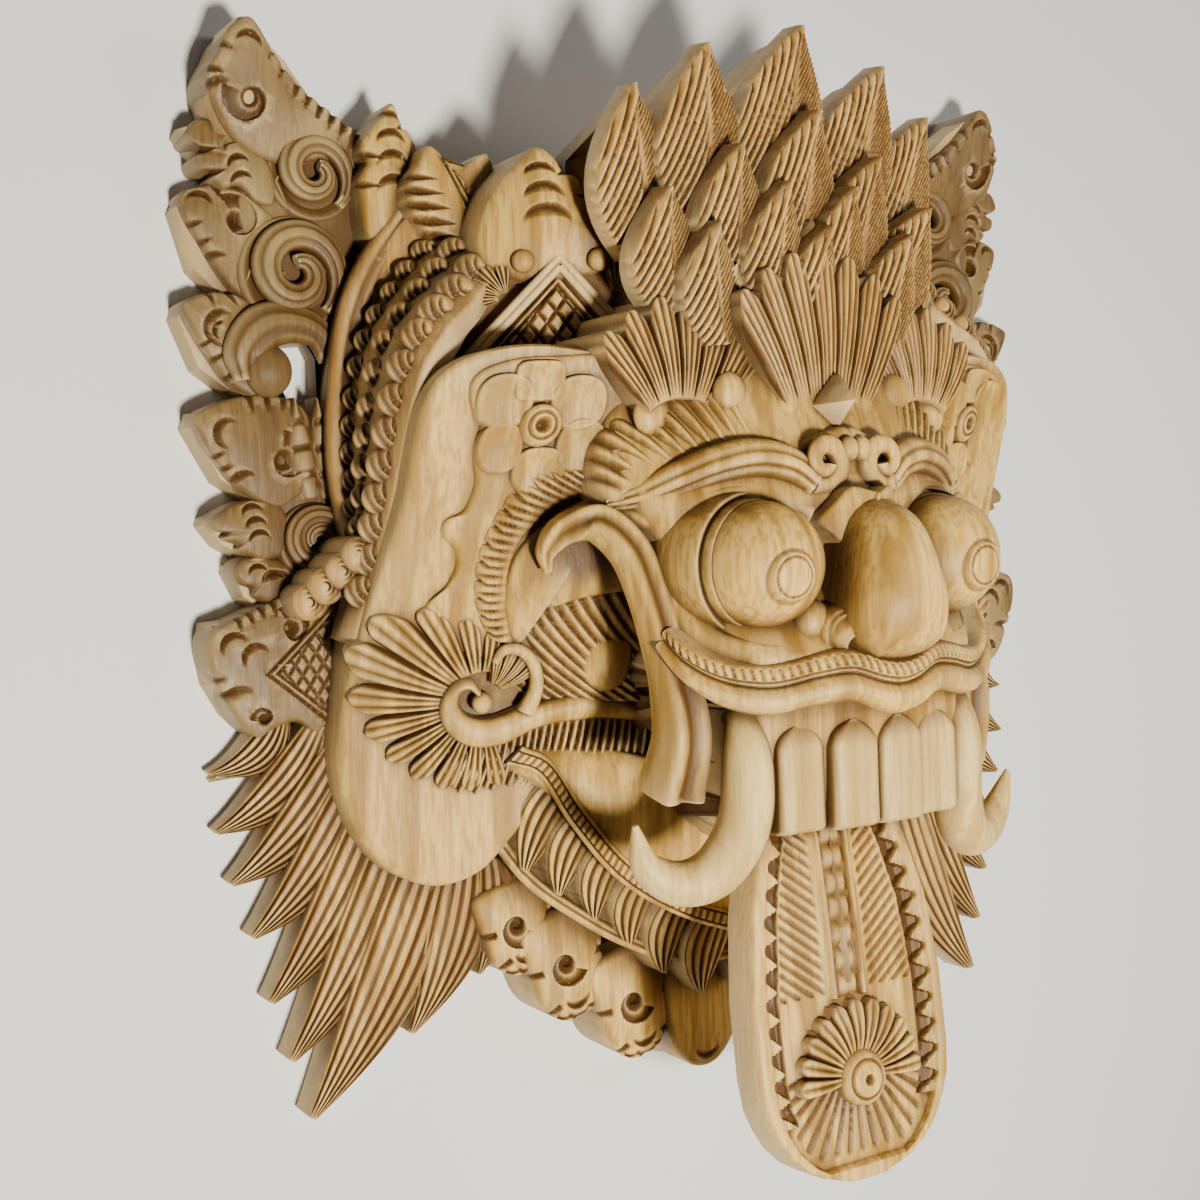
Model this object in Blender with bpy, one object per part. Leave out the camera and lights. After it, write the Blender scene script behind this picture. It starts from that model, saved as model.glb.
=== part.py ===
"""A demon-queen mask carved from one block of pale wood, lying on its flat back.

The crown points to +Y, the face looks up to +Z, and X = 0 is the plane of symmetry.
The carving is drawn on a grid whose units are shares of the mask's own width, height and depth, so
that one unit is one millimetre at the real size.  A place is written (a, y, z), where a is the
distance from the plane of symmetry.  Each element is a closed shell on the +X side.  The shells are
united, the hollow and the openings are cut, and a mirror makes the other half.
"""

import math

import bmesh
import bpy
import numpy as np

# Driving sizes, in metres
WIDTH = 0.372  # over the wing tips
HEIGHT = 0.394  # from the tongue's tip to the horn tips
DEPTH = 0.164  # from the flat back to the tip of the nose
PLATE = 0.010  # wing plate, between the lobes
SHELL = 0.016  # wood left between the face and the hollow behind it
EYE_RADIUS = 0.021
PUPIL_RADIUS = 0.0073
TONGUE_WIDTH = 0.080
TONGUE_THICKNESS = 0.012
TOOTH_WIDTH = 0.0188
TOOTH_LENGTH = 0.032
TUSK_RADIUS = 0.0085  # at the root
FEATHER_WIDTH = 0.021  # the long feathers below the ears
RIB_WIDTH = 0.006  # the double line along each wing
WING_HOLE = 0.013  # width of the opening pierced through each wing

# The drawing grid, in units
GRID_WIDTH = 371.9
GRID_HEIGHT = 394.1
GRID_DEPTH = 164.0
GRID_MIDDLE = np.array([0.0, 3.56, 0.0])  # halfway between the tongue's tip and the horn tips
UNIT = np.array([WIDTH / GRID_WIDTH, HEIGHT / GRID_HEIGHT, DEPTH / GRID_DEPTH])
MEAN_UNIT = float(np.mean(UNIT))
UNDER = -4.0  # how far the shells reach below the back before it is cut flat

TEETH = 2  # on each side
SCALES = 7  # in the outer row along the rib
INNER_SCALES = 5
LID_STEPS = 10
MERGE = 0.00001


def units(size):
    """A real size, in grid units."""
    return size / MEAN_UNIT


def clear_scene():
    for obj in list(bpy.data.objects):
        bpy.data.objects.remove(obj)


def wood():
    material = bpy.data.materials.new("pale_wood")
    material.use_nodes = True
    shader = material.node_tree.nodes["Principled BSDF"]
    shader.inputs["Base Color"].default_value = (0.62, 0.43, 0.22, 1.0)
    shader.inputs["Roughness"].default_value = 0.55
    shader.inputs["Metallic"].default_value = 0.0
    return material


def helper_collection(name):
    collection = bpy.data.collections.new(name)
    bpy.context.scene.collection.children.link(collection)
    return collection


def solid(name, points, faces, collection):
    """A closed mesh from grid points, as a helper that is not part of the result."""
    mesh = bpy.data.meshes.new(name)
    places = (np.asarray(points, dtype=float) - GRID_MIDDLE) * UNIT
    mesh.from_pydata([tuple(p) for p in places], [], [list(f) for f in faces])
    shape = bmesh.new()
    shape.from_mesh(mesh)
    bmesh.ops.recalc_face_normals(shape, faces=shape.faces)
    shape.to_mesh(mesh)
    shape.free()
    obj = bpy.data.objects.new(name, mesh)
    obj.hide_render = True
    obj.display_type = "WIRE"
    collection.objects.link(obj)
    return obj


def loft(name, rings, collection):
    """Skins equal rings of points one after another and closes both ends."""
    rings = [np.asarray(ring, dtype=float) for ring in rings]
    count = len(rings[0])
    faces = [list(range(count))[::-1]]
    for k in range(len(rings) - 1):
        for i in range(count):
            j = (i + 1) % count
            faces.append([k * count + i, k * count + j, (k + 1) * count + j, (k + 1) * count + i])
    faces.append([(len(rings) - 1) * count + i for i in range(count)])
    return solid(name, np.vstack(rings), faces, collection)


def leaf(name, root, tip, half_width, collection, ridge=2.5, bow=0.0, steps=5, under=None, blunt=0.16):
    """A pointed blade with a raised middle line.  Its sides go down to the plate, or to under."""
    root = np.array(root, dtype=float)
    tip = np.array(tip, dtype=float)
    along = tip[:2] - root[:2]
    along /= np.linalg.norm(along)
    across = np.array([-along[1], along[0]])
    low_root, low_tip = (UNDER, UNDER) if under is None else under
    start = 0.24
    end = 1.0 - math.asin(blunt) / math.pi
    rings = []
    for t in np.linspace(0.0, 1.0, steps):
        middle = root + (tip - root) * t
        middle[:2] += across * bow * 4.0 * t * (1.0 - t)
        width = half_width * math.sin(math.pi * (start + (end - start) * t))
        low = low_root + (low_tip - low_root) * t
        crest = ridge * (1.0 - 0.5 * t)
        ring = []
        for side, height in ((-1, low), (-1, middle[2]), (0, middle[2] + crest), (1, middle[2]), (1, low)):
            ring.append([*(middle[:2] + across * width * side), height])
        rings.append(ring)
    return loft(name, rings, collection)


def slab(name, outline, top, collection, under=UNDER, crown=None):
    """An outline of (a, y) points from the height under up to top(a, y), with an optional apex."""
    low = [[a, y, under] for a, y in outline]
    high = [[a, y, top(a, y)] for a, y in outline]
    count = len(outline)
    faces = [list(range(count))[::-1]]
    for i in range(count):
        j = (i + 1) % count
        faces.append([i, j, count + j, count + i])
    points = low + high
    if crown is None:
        faces.append(list(range(count, 2 * count)))
    else:
        points.append(list(crown))
        for i in range(count):
            faces.append([count + i, count + (i + 1) % count, 2 * count])
    return solid(name, points, faces, collection)


def tube(name, path, radii, collection, sides=3, flat=1.0):
    """A bar along a path with its crest up.  Three sides suit low relief; flat below 1 makes it lower."""
    path = np.asarray(path, dtype=float)
    radii = np.interp(np.linspace(0, 1, len(path)), np.linspace(0, 1, len(radii)), radii)
    tangents = np.gradient(path, axis=0)
    tangents /= np.linalg.norm(tangents, axis=1)[:, None]
    rings = []
    for point, tangent, radius in zip(path, tangents, radii):
        side = np.cross(tangent, [0.0, 0.0, 1.0])
        side /= np.linalg.norm(side)
        rise = np.cross(side, tangent)
        turns = math.pi / 2 + np.arange(sides) * 2 * math.pi / sides
        ring = [point + radius * (math.cos(u) * side + flat * math.sin(u) * rise) for u in turns]
        rings.append(ring)
    return loft(name, rings, collection)


def smooth_path(points, count):
    """Points spread along a soft curve through a few chosen ones (Catmull-Rom)."""
    p = np.asarray(points, dtype=float)
    p = np.vstack([2 * p[0] - p[1], p, 2 * p[-1] - p[-2]])
    out = []
    for u in np.linspace(0, len(points) - 1 - 1e-9, count):
        i = int(u)
        t = u - i
        a, b, c, d = p[i : i + 4]
        out.append(0.5 * (2 * b + (c - a) * t + (2 * a - 5 * b + 4 * c - d) * t**2
                          + (3 * b - a - 3 * c + d) * t**3))
    return np.array(out)


def spiral(centre, outer, inner, start, turns, rise, count):
    """A flat curl about a centre: the radius falls from outer to inner and the height grows by rise."""
    t = np.linspace(0, 1, count)
    angle = np.radians(start + 360 * turns * t)
    radius = outer + (inner - outer) * t
    return np.stack([centre[0] + radius * np.cos(angle), centre[1] + radius * np.sin(angle),
                     centre[2] + rise * t], axis=1)


def ball(name, centre, radii, collection, around=10, down=6):
    """An ellipsoid with its poles along z."""
    centre = np.array(centre, dtype=float)
    points = [centre + [0, 0, radii[2]]]
    for k in range(1, down):
        v = math.pi * k / down
        for i in range(around):
            u = 2 * math.pi * i / around
            points.append(centre + [radii[0] * math.sin(v) * math.cos(u),
                                    radii[1] * math.sin(v) * math.sin(u), radii[2] * math.cos(v)])
    points.append(centre - [0, 0, radii[2]])
    faces = [[0, 1 + i, 1 + (i + 1) % around] for i in range(around)]
    for k in range(down - 2):
        for i in range(around):
            j = (i + 1) % around
            faces.append([1 + k * around + i, 1 + (k + 1) * around + i,
                          1 + (k + 1) * around + j, 1 + k * around + j])
    last = len(points) - 1
    faces += [[last, last - around + (i + 1) % around, last - around + i] for i in range(around)]
    return solid(name, points, faces, collection)


def cone(name, centre, radii, collection, sides=5, depth=8.0):
    """A low pointed bump on a surface: an ellipse under the surface and one point above it."""
    a, y, z = centre
    turns = np.arange(sides) * 2 * math.pi / sides + 0.3
    outline = [(a + radii[0] * math.cos(u), y + radii[1] * math.sin(u)) for u in turns]
    return slab(name, outline, lambda a, y: z - 0.5, collection, z - depth, (a, y, z + radii[2]))


def button(name, centre, radii, collection, sides=5, depth=8.0):
    """A low bump with a flat top and sloping sides."""
    a, y, z = centre
    rings = []
    for share, height in ((1.0, z - depth), (1.0, z), (0.62, z + radii[2])):
        turns = np.arange(sides) * 2 * math.pi / sides + 0.3
        rings.append([[a + share * radii[0] * math.cos(u), y + share * radii[1] * math.sin(u), height] for u in turns])
    return loft(name, rings, collection)


def zigzag(name, roots, tips, notch, collection, lift=2.5, under=UNDER):
    """A row of leaves side by side: ridged from each root to its tip, with notches between the tips."""
    roots = np.asarray(roots, dtype=float)
    tips = np.asarray(tips, dtype=float)
    middle_roots = (roots[1:] + roots[:-1]) / 2
    middle_tips = (tips[1:] + tips[:-1]) / 2
    inner = [roots[0] + (roots[0] - middle_roots[0])]
    outer = [tips[0] + (tips[0] - middle_tips[0])]
    for k in range(len(roots) - 1):
        inner += [roots[k], middle_roots[k]]
        outer += [tips[k], middle_tips[k]]
    inner += [roots[-1], 2 * roots[-1] - middle_roots[-1]]
    outer += [tips[-1], 2 * tips[-1] - middle_tips[-1]]
    rings = []
    for k in range(len(inner)):
        ridge = k % 2
        start = inner[k] + [0, 0, lift if ridge else 0]
        end = outer[k] if ridge else inner[k] + (outer[k] - inner[k]) * notch
        rings.append([[start[0], start[1], under], start, end + [0, 0, 0.4 * lift * ridge], [end[0], end[1], under]])
    return loft(name, rings, collection)


def fan(name, centre, radius, first, last, fingers, collection, lift=3.0, notch=0.78, under=UNDER, stretch=1.0):
    """A fan of pointed fingers about a centre, from one angle to another, in degrees."""
    outline = []
    steps = 2 * fingers
    for k in range(steps + 1):
        angle = math.radians(first + (last - first) * k / steps)
        reach = radius * (1.0 if k % 2 else notch)
        outline.append((centre[0] + reach * math.cos(angle), centre[1] + stretch * reach * math.sin(angle)))
    if abs(last - first) < 359:
        outline.append((centre[0] - 0.1 * radius * math.cos(math.radians((first + last) / 2)),
                        centre[1] - 0.1 * radius * math.sin(math.radians((first + last) / 2))))
    else:
        outline.pop()
    return slab(name, outline, lambda a, y: centre[2], collection, under, (centre[0], centre[1], centre[2] + lift))


# The ear plate's top surface falls to the outside and towards the chin
EAR_HEIGHT = 35.0
EAR_LEVEL_Y = -32.0
EAR_RISE = 0.37
EAR_RISE_LOW = 0.10
EAR_LEAN = 0.30
EAR_EDGE = 148.0


def ear_top(a, y):
    rise = EAR_RISE if y > EAR_LEVEL_Y else EAR_RISE_LOW
    return EAR_HEIGHT + rise * (y - EAR_LEVEL_Y) + EAR_LEAN * (EAR_EDGE - 18.0 - a)


def face_top(a, y):
    """The height of the face under its features: highest on the plane of symmetry."""
    middle = np.interp(y, [-75, -32, -15, 10, 35, 60, 85, 110], [138, 142, 146, 130, 132, 122, 112, 104])
    return float(middle - 0.0050 * a**2 - 0.05 * a)


def base_plate(collection):
    outline = [(0, 150), (90, 150), (120, 160), (150, 168), (160, 150), (165, 130), (160, 108), (166, 90),
               (160, 75), (158, 50), (160, 30), (155, 8), (166, 0), (166, -25), (158, -42), (146, -75),
               (130, -112), (100, -124), (80, -120), (60, -138), (30, -160), (0, -168)]
    outline = [(-20, 150), *outline[1:-1], (-20, -168)]
    return slab("base_plate", outline, lambda a, y: units(PLATE), collection)


def slope_top(a, y):
    """The wing rises towards the ear."""
    return 22 + 0.5 * (134 - a)


def wing(collection):
    """The lobes, curls, ribs and scales of one wing."""
    lobes = [
        ((140, 152, 14), (166, 199, 28), 21, -5, (UNDER, 12)),
        ((150, 150, 12), (181, 165, 15), 11, 1, None),
        ((146, 121, 12.5), (183, 141, 9), 19, -3, None),
        ((150, 90, 12), (185, 105, 11), 15, -4, None),
        ((140, 54, 12), (183, 69, 14), 18, -3, None),
        ((160, 30, 12), (180, 35, 13), 9, 0, None),
        ((152, 12, 12), (172, 19, 13), 9, -2, None),
    ]
    for k, (root, tip, half_width, bow, under) in enumerate(lobes):
        leaf(f"lobe_{k}", root, tip, half_width, collection, ridge=4, bow=bow, under=under, steps=4)
    slab("horn_back", [(152, 190), (141, 180), (131, 173), (116, 166), (110, 150), (140, 150), (158, 172)],
         lambda a, y: 14 + 0.12 * (y - 150), collection)
    slab("low_lobe", [(130, 14), (160, 4), (181, 1), (183, -8), (181, -20), (175, -31), (168, -38),
                      (150, -44), (130, -40)], lambda a, y: 17, collection, crown=(155, -16, 21))
    tube("curl_top", spiral((138, 149, 12), 15, 4, -60, 1.0, 4, 7), [8, 7, 4], collection)
    tube("curl_large", spiral((146, 117, 12), 18, 4, -12, 1.15, 4, 8), [8, 7, 4], collection)
    tube("curl_hook", smooth_path([(138, 98, 15), (150, 100, 15), (162, 94, 15), (165, 84, 15), (158, 78, 16)], 4),
         [7, 7.5, 8], collection)
    button("hook_end", (156, 82, 15), (7.5, 8, 5), collection, depth=19)
    tube("curl_round", spiral((144, 26, 11), 11, 4, 0, 1.0, 4, 7), [6, 5.5, 4], collection)
    rib = smooth_path([(110, 136, 26), (121, 122, 24), (129, 105, 22), (133, 85, 20), (135, 60, 20),
                       (134, 42, 20), (131, 24, 20)], 5)
    tube("rib", rib, [units(RIB_WIDTH) * 0.75], collection, flat=1.2)
    slab("wing_slope", [(134, 20), (136, 60), (134, 88), (124, 118), (110, 138), (96, 150), (84, 150), (90, 60),
                        (112, 20)], slope_top, collection)
    finials = [((112, 142, 24), (112, 173, 27), 10), ((92, 120, 34), (100, 160, 36), 14)]
    for k, (root, tip, half_width) in enumerate(finials):
        leaf(f"finial_{k}", root, tip, half_width, collection, ridge=3, steps=4)
    slab("inner_leaf", [(106, 148), (100, 158), (84, 152), (64, 148), (60, 120), (88, 98), (96, 112), (102, 130)],
         lambda a, y: 40 + 0.25 * (100 - a), collection)
    for k in range(SCALES):
        t = k / (SCALES - 1)
        y = 122 - 100 * t
        a = 112 + 14 * math.sin(math.pi * (0.15 + 0.55 * t))
        cone(f"scale_outer_{k}", (a + 2, y, slope_top(a + 2, y)), (6.5, 7.5, 6), collection, sides=4)
    for k in range(INNER_SCALES):
        t = k / (INNER_SCALES - 1)
        y = 112 - 78 * t
        a = 102 + 15 * math.sin(math.pi * (0.1 + 0.55 * t))
        leaf(f"scale_inner_{k}", (a - 8, y + 4, slope_top(a - 8, y) + 4), (a + 6, y - 3, slope_top(a + 6, y) + 3), 6.5,
             collection, steps=3)


def low_feathers(collection):
    """The feathers that sweep out and down below the ear."""
    roots = [(158, -36), (140, -44), (132, -54), (125, -62), (118, -68), (110, -75), (100, -80), (92, -84), (84, -88)]
    tips = [(180, -53), (176, -71), (173, -88), (168, -106), (162, -130), (156, -151), (152, -172), (112, -149),
            (88, -132)]
    share = [0.62, 0.76, 0.86, 0.92, 1.0, 1.04, 1.15, 1.05, 0.9]
    for k, (root, tip) in enumerate(zip(roots, tips)):
        rise = 14 + 1.2 * k
        leaf(f"low_feather_{k}", (*root, rise + 4), (*tip, rise + 1), share[k] * units(FEATHER_WIDTH) / 2,
             collection, ridge=2.5, bow=-4, steps=3)


def ear(collection):
    """The smooth ear plate with its flower, arch, fan leaf and band."""
    outline = [(40, 82), (78, 86), (98, 89), (113, 84), (124, 76), (129, 66), (131, 52), (132, 40), (135, 25),
               (140, 7), (145, -12), (148, -33), (148, -50), (145, -65), (139, -79), (128, -89), (112, -94),
               (97, -92), (85, -84), (72, -68), (56, -56), (40, -52)]
    upper = [p for p in outline if p[1] >= EAR_LEVEL_Y] + [(147.8, EAR_LEVEL_Y), (40, EAR_LEVEL_Y)]
    slab("ear_upper", upper, ear_top, collection)
    lower = [(38, EAR_LEVEL_Y + 0.5), (147.6, EAR_LEVEL_Y + 0.5)] + [p for p in outline if p[1] < EAR_LEVEL_Y]
    slab("ear_lower", lower, lambda a, y: ear_top(a, EAR_LEVEL_Y) + EAR_RISE_LOW * (y - EAR_LEVEL_Y), collection)
    centre = (88, 62)
    reach = 13.5
    for k, angle in enumerate((90, 28, 152, 215, 325)):
        a = centre[0] + reach * math.cos(math.radians(angle))
        y = centre[1] + reach * math.sin(math.radians(angle))
        button(f"flower_petal_{k}", (a, y, ear_top(a, y) + 1), (8.5, 8.5, 3.5), collection)
    button("flower_eye", (*centre, ear_top(*centre) + 2), (6, 6, 4), collection)
    arch = [(a, y, ear_top(a, y) + 0.5) for a, y in
            ((70, 50), (84, 46), (96, 36), (103, 20), (102, 4), (95, -12))]
    tube("ear_arch", smooth_path(arch, 6), [6, 7, 6], collection, flat=0.8)
    hub = (101, -27)
    fan("ear_fan", (*hub, ear_top(*hub) + 2), 33, -110, 100, 6, collection, lift=6)
    curl = spiral((98, -28, ear_top(98, -28) + 3), 12, 4, 200, -1.0, 2, 7)
    tube("ear_curl", curl, [7, 6, 4.5], collection)
    band = [(a, y, ear_top(a, y) + 1) for a, y in ((104, -41), (92, -44), (78, -40), (62, -35), (46, -33))]
    tube("ear_band", smooth_path(band, 5), [5.5, 7], collection)
    comb = [(100, -46), (80, -44), (60, -39), (43, -37), (43, -53), (60, -57), (74, -62), (88, -64), (98, -60)]
    slab("ear_comb", comb, lambda a, y: ear_top(a, EAR_LEVEL_Y) + EAR_RISE_LOW * (y - EAR_LEVEL_Y) + 3,
         collection)


def petal(collection):
    """The tall leaf above the ear, in front of the wing."""
    outline = [(97, 92), (100, 104), (97, 118), (95, 130), (88, 143), (79, 152), (70, 147), (60, 134), (52, 122),
               (44, 106), (46, 84), (70, 82)]
    slab("petal", outline, lambda a, y: 84 - 0.55 * (a - 45) + 0.24 * (y - 95), collection, crown=(72, 118, 84))
    for k, (a, y) in enumerate(((86, 118), (62, 118))):
        ball(f"petal_bead_{k}", (a, y, 84 - 0.55 * (a - 45) + 6), (4.5, 4.5, 5), collection, 6, 4)


def crown(collection):
    """Three rows of feathers that rise from the block of the crown."""
    block = [(-20, 158), (26, 156), (52, 148), (72, 136), (78, 118), (74, 90), (60, 70), (-20, 70)]
    slab("crown_block", block, lambda a, y: 104 - 0.12 * (y - 70) - 0.16 * a, collection)
    rows = [
        [((0, 140, 98), (0, 191, 103), 17), ((30, 134, 96), (35, 181, 103), 15), ((52, 126, 92), (60, 167, 97), 14)],
        [((0, 120, 104), (0, 160, 111), 13), ((24, 112, 103), (27, 147, 109), 12), ((46, 104, 99), (53, 132, 105), 12)],
        [((0, 100, 108), (0, 128, 115), 11), ((26, 92, 107), (30, 113, 113), 11)],
    ]
    for r, row in enumerate(rows):
        for k, (root, tip, half_width) in enumerate(row):
            under = (UNDER + 2 * r, tip[2] - 16) if r == 0 else (60, 80)
            leaf(f"crown_{r}_{k}", root, tip, half_width, collection, ridge=4, steps=4, under=under,
                 bow=-1.5 * (k > 0))
    fan("fan_middle", (0, 76, 119), 40, 35, 145, 7, collection, lift=3, under=60, notch=0.84)
    fan("fan_side", (50, 66, 104), 34, 22, 152, 6, collection, lift=3, under=50, notch=0.84)


def face(collection):
    """The head block, brows, lids, eyes, nose, lip and cheeks."""
    rings = []
    for y, width in ((92, 66), (70, 74), (48, 76), (24, 70), (4, 64), (-14, 60), (-31, 54)):
        edge = [(-width, UNDER)]
        for share in (-1.0, -0.72, -0.4, 0.0, 0.4, 0.72, 1.0):
            edge.append((share * width, face_top(abs(share) * width, y)))
        edge.append((width, UNDER))
        rings.append([(a, y, z) for a, z in edge])
    loft("head", rings, collection)
    eye = (41.4, 14, 150 - units(EYE_RADIUS))
    ball("eye", eye, [units(EYE_RADIUS)] * 3, collection, 11, 7)
    turn = np.linspace(0, 2 * math.pi, LID_STEPS + 1)[:-1]
    lid_radius = units(EYE_RADIUS) + 3.5
    lid = [(eye[0] + 1 + lid_radius * math.cos(u), eye[1] + lid_radius * math.sin(u),
            117 - 8 * math.cos(u) + 2 * math.sin(u)) for u in turn]
    rings = []
    for k, point in enumerate(lid):
        out = np.array([math.cos(turn[k]), math.sin(turn[k]), 0.0])
        rings.append([np.array(point) + 5.5 * (math.cos(v) * out + math.sin(v) * np.array([0, 0, 1.0]))
                      for v in np.arange(3) * 2 * math.pi / 3 + math.pi / 2])
    points = np.vstack(rings)
    faces = []
    for k in range(LID_STEPS):
        for i in range(3):
            j = (i + 1) % 3
            n = (k + 1) % LID_STEPS
            faces.append([k * 3 + i, k * 3 + j, n * 3 + j, n * 3 + i])
    solid("lid", points, faces, collection)
    pupil = [(39.6 + units(PUPIL_RADIUS) * math.cos(u), 12.5 + units(PUPIL_RADIUS) * math.sin(u))
             for u in np.arange(8) * 2 * math.pi / 8]
    slab("pupil", pupil, lambda a, y: 150.3, collection, under=135)
    brow = [(77, 44), (75, 56), (66, 66), (56, 72), (44, 75), (30, 72), (17, 61), (11, 50), (24, 45), (44, 43),
            (60, 37), (72, 32)]
    slab("brow", brow, lambda a, y: 133 - 0.42 * a - 0.12 * (y - 45), collection, under=70, crown=(46, 56, 120))
    roll = smooth_path([(74, 36, 98), (62, 40, 109), (48, 45, 117), (32, 43, 124), (18, 36, 129), (12, 28, 130)], 6)
    tube("brow_roll", roll, [6, 8.5, 8.5, 6], collection)
    button("brow_curl", (9.5, 48, 131), (8, 8, 4), collection, depth=12)
    gem = [(1, 77), (10, 67), (-1, 55), (-10, 65)]
    slab("gem", gem, lambda a, y: 124, collection, under=100, crown=(0, 66, 131))
    for k, (a, y, z) in enumerate(((34, 69, 113), (60, 64, 106), (14, 66, 118))):
        cone(f"brow_drop_{k}", (a, y, z), (5.5, 7, 4), collection, sides=4)
    nose = []
    for y, half, low, high in ((36, 7, 100, 138), (28, 10, 100, 155), (14, 14, 100, 162), (2, 17, 100, 164),
                               (-10, 17, 100, 160), (-17, 14, 100, 150)):
        nose.append([(-half, y, low), (-half, y, high - 22), (-half * 0.62, y, high - 5), (0, y, high),
                     (half * 0.62, y, high - 5), (half, y, high - 22), (half, y, low)])
    loft("nose", nose, collection)
    button("nostril", (16, -9, 141), (8, 7, 5), collection, depth=20)
    cheek = [(56, 22, 104), (60, 8, 108), (58, -6, 114), (46, -12, 128), (30, -12, 134), (16, -16, 136)]
    tube("cheek", smooth_path(cheek, 5), [7, 9, 9, 8], collection)
    lip = [(61, -13, 124), (57, -20, 129), (44, -25, 137), (26, -25, 144), (10, -27, 148), (-6, -27, 149)]
    tube("upper_lip", smooth_path(lip, 6), [3.5, 5.5, 6, 6], collection, sides=4)


def mouth(collection):
    """The gum, the teeth, the tusks and the skin that curls up from the mouth's corner."""
    width = units(TOOTH_WIDTH)
    length = units(TOOTH_LENGTH)
    gum_y = -31.0
    bottom = gum_y - 9 - length
    half = TEETH * width
    slab("gum", [(-6, -24), (50, -24), (50, -40), (half + 4, bottom + 12), (half, bottom + 2), (-6, bottom + 2)],
         lambda a, y: 134 - 0.15 * a, collection, under=UNDER)
    for k in range(TEETH):
        a0 = k * width
        rings = []
        for y, share, drop in ((gum_y - 6, 0.25, 3.5), (gum_y - 8.5, 0.75, 1.2), (gum_y - 13, 0.97, 0.3),
                               (bottom, 0.97, 0.0)):
            mid = a0 + width / 2
            reach = width / 2 * share
            top = 139 - 0.006 * mid * mid - drop
            rings.append([(mid - reach, y, 112), (mid - reach, y, top - 3), (mid - reach * 0.7, y, top),
                          (mid + reach * 0.7, y, top), (mid + reach, y, top - 3), (mid + reach, y, 112)])
        loft(f"tooth_{k}", rings, collection)
    radius = units(TUSK_RADIUS)
    tusk = [(43, -36, 122), (43.5, -52, 125), (45, -70, 123), (53, -84, 118), (64, -86.5, 114), (75, -80, 112),
            (80, -66, 114)]
    tube("tusk", smooth_path(tusk, 9), [radius * 0.8, radius, radius, radius, radius * 0.85, radius * 0.55,
                                        radius * 0.12], collection, sides=5)
    skin = [(87, 19, 76), (87, 27, 80), (79, 33, 86), (69, 28, 94), (63, 14, 102), (61, -4, 107), (60, -24, 109),
            (61, -42, 108), (62, -56, 102)]
    tube("mouth_skin", smooth_path(skin, 8), [1.5, 5, 7.5, 8, 8, 8, 8.5, 9, 9], collection, sides=4,
         flat=1.1)
    rear = [(92, 36), (70, 40), (40, 40), (38, 2), (52, 2), (58, -3), (88, -4), (100, 2), (103, 18)]
    slab("mouth_side", rear, lambda a, y: ear_top(a, y) + 3 + 0.25 * (100 - a), collection)


def chin(collection):
    """The lower jaw with its rim, the fluted leaves below it and the scrolled lobes at the bottom."""
    jaw = [(-20, -114, 78), (10, -114, 77), (34, -105, 70), (50, -92, 64), (62, -76, 60), (72, -60, 56), (76, -50, 58),
           (66, -47, 96), (48, -49, 98), (34, -54, 96), (-20, -56, 94)]
    heights = {(a, y): z for a, y, z in jaw}
    slab("jaw", [(a, y) for a, y, z in jaw], lambda a, y: heights[(a, y)], collection, crown=(30, -78, 92))
    rim = smooth_path([(78, -54, 55), (66, -74, 58), (52, -93, 62), (34, -107, 68), (14, -115, 75), (-6, -117, 77)], 5)
    tube("jaw_rim", rim, [4, 4.5], collection)
    roots = [(66, -58), (57, -70), (47, -82), (36, -94), (23, -104), (9, -111)]
    tips = [(80, -92), (67, -102), (53, -113), (39, -125), (25, -137), (9, -147)]
    zigzag("beard", [(*p, 50 + k) for k, p in enumerate(roots)], [(*p, 37 + 0.6 * k) for k, p in enumerate(tips)],
           0.8, collection)
    lobes = [((80, -98), (73, -134), 14), ((58, -112), (49, -154), 15), ((30, -128), (22, -172), 15),
             ((0, -136), (0, -181), 17)]
    for k, (root, tip, half_width) in enumerate(lobes):
        leaf(f"beard_lobe_{k}", (*root, 24 + 2 * k), (*tip, 19 + 2 * k), half_width, collection, ridge=3, blunt=0.3,
             steps=3)


def tongue_top(y):
    return float(np.interp(y, [-195, -156, -111, -80, -62], [126, 122, 117, 112, 100]))


def tongue(collection):
    half = units(TONGUE_WIDTH) / 2
    thick = units(TONGUE_THICKNESS)
    rings = []
    outline = ((-58, 0.55), (-70, 0.66), (-84, 0.80), (-104, 0.93), (-130, 1.0), (-156, 1.0), (-173, 0.90),
               (-186, 0.65), (-193.5, 0.28))
    for y, share in outline:
        top = tongue_top(y)
        w = half * share
        rings.append([(-w, y, top - thick), (-w, y, top), (-w * 0.86, y, top + 1.5), (-w * 0.78, y, top - 0.6),
                      (0, y, top + 0.6), (w * 0.78, y, top - 0.6), (w * 0.86, y, top + 1.5), (w, y, top),
                      (w, y, top - thick)])
    loft("tongue", rings, collection)
    slab("tongue_root", [(-22, -56), (22, -56), (22, -78), (-22, -78)], lambda a, y: 104, collection, under=60)
    tube("tongue_ridge", [(0, y, tongue_top(y) - 0.5) for y in (-76, -111, -130)], [4.5], collection)
    fan("tongue_flower", (0, -157, tongue_top(-157) + 1), 25, 0, 180, 7, collection, lift=3.5, under=115)
    button("tongue_boss", (0, -158, tongue_top(-158) + 4), (8, 6, 2.5), collection)


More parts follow.
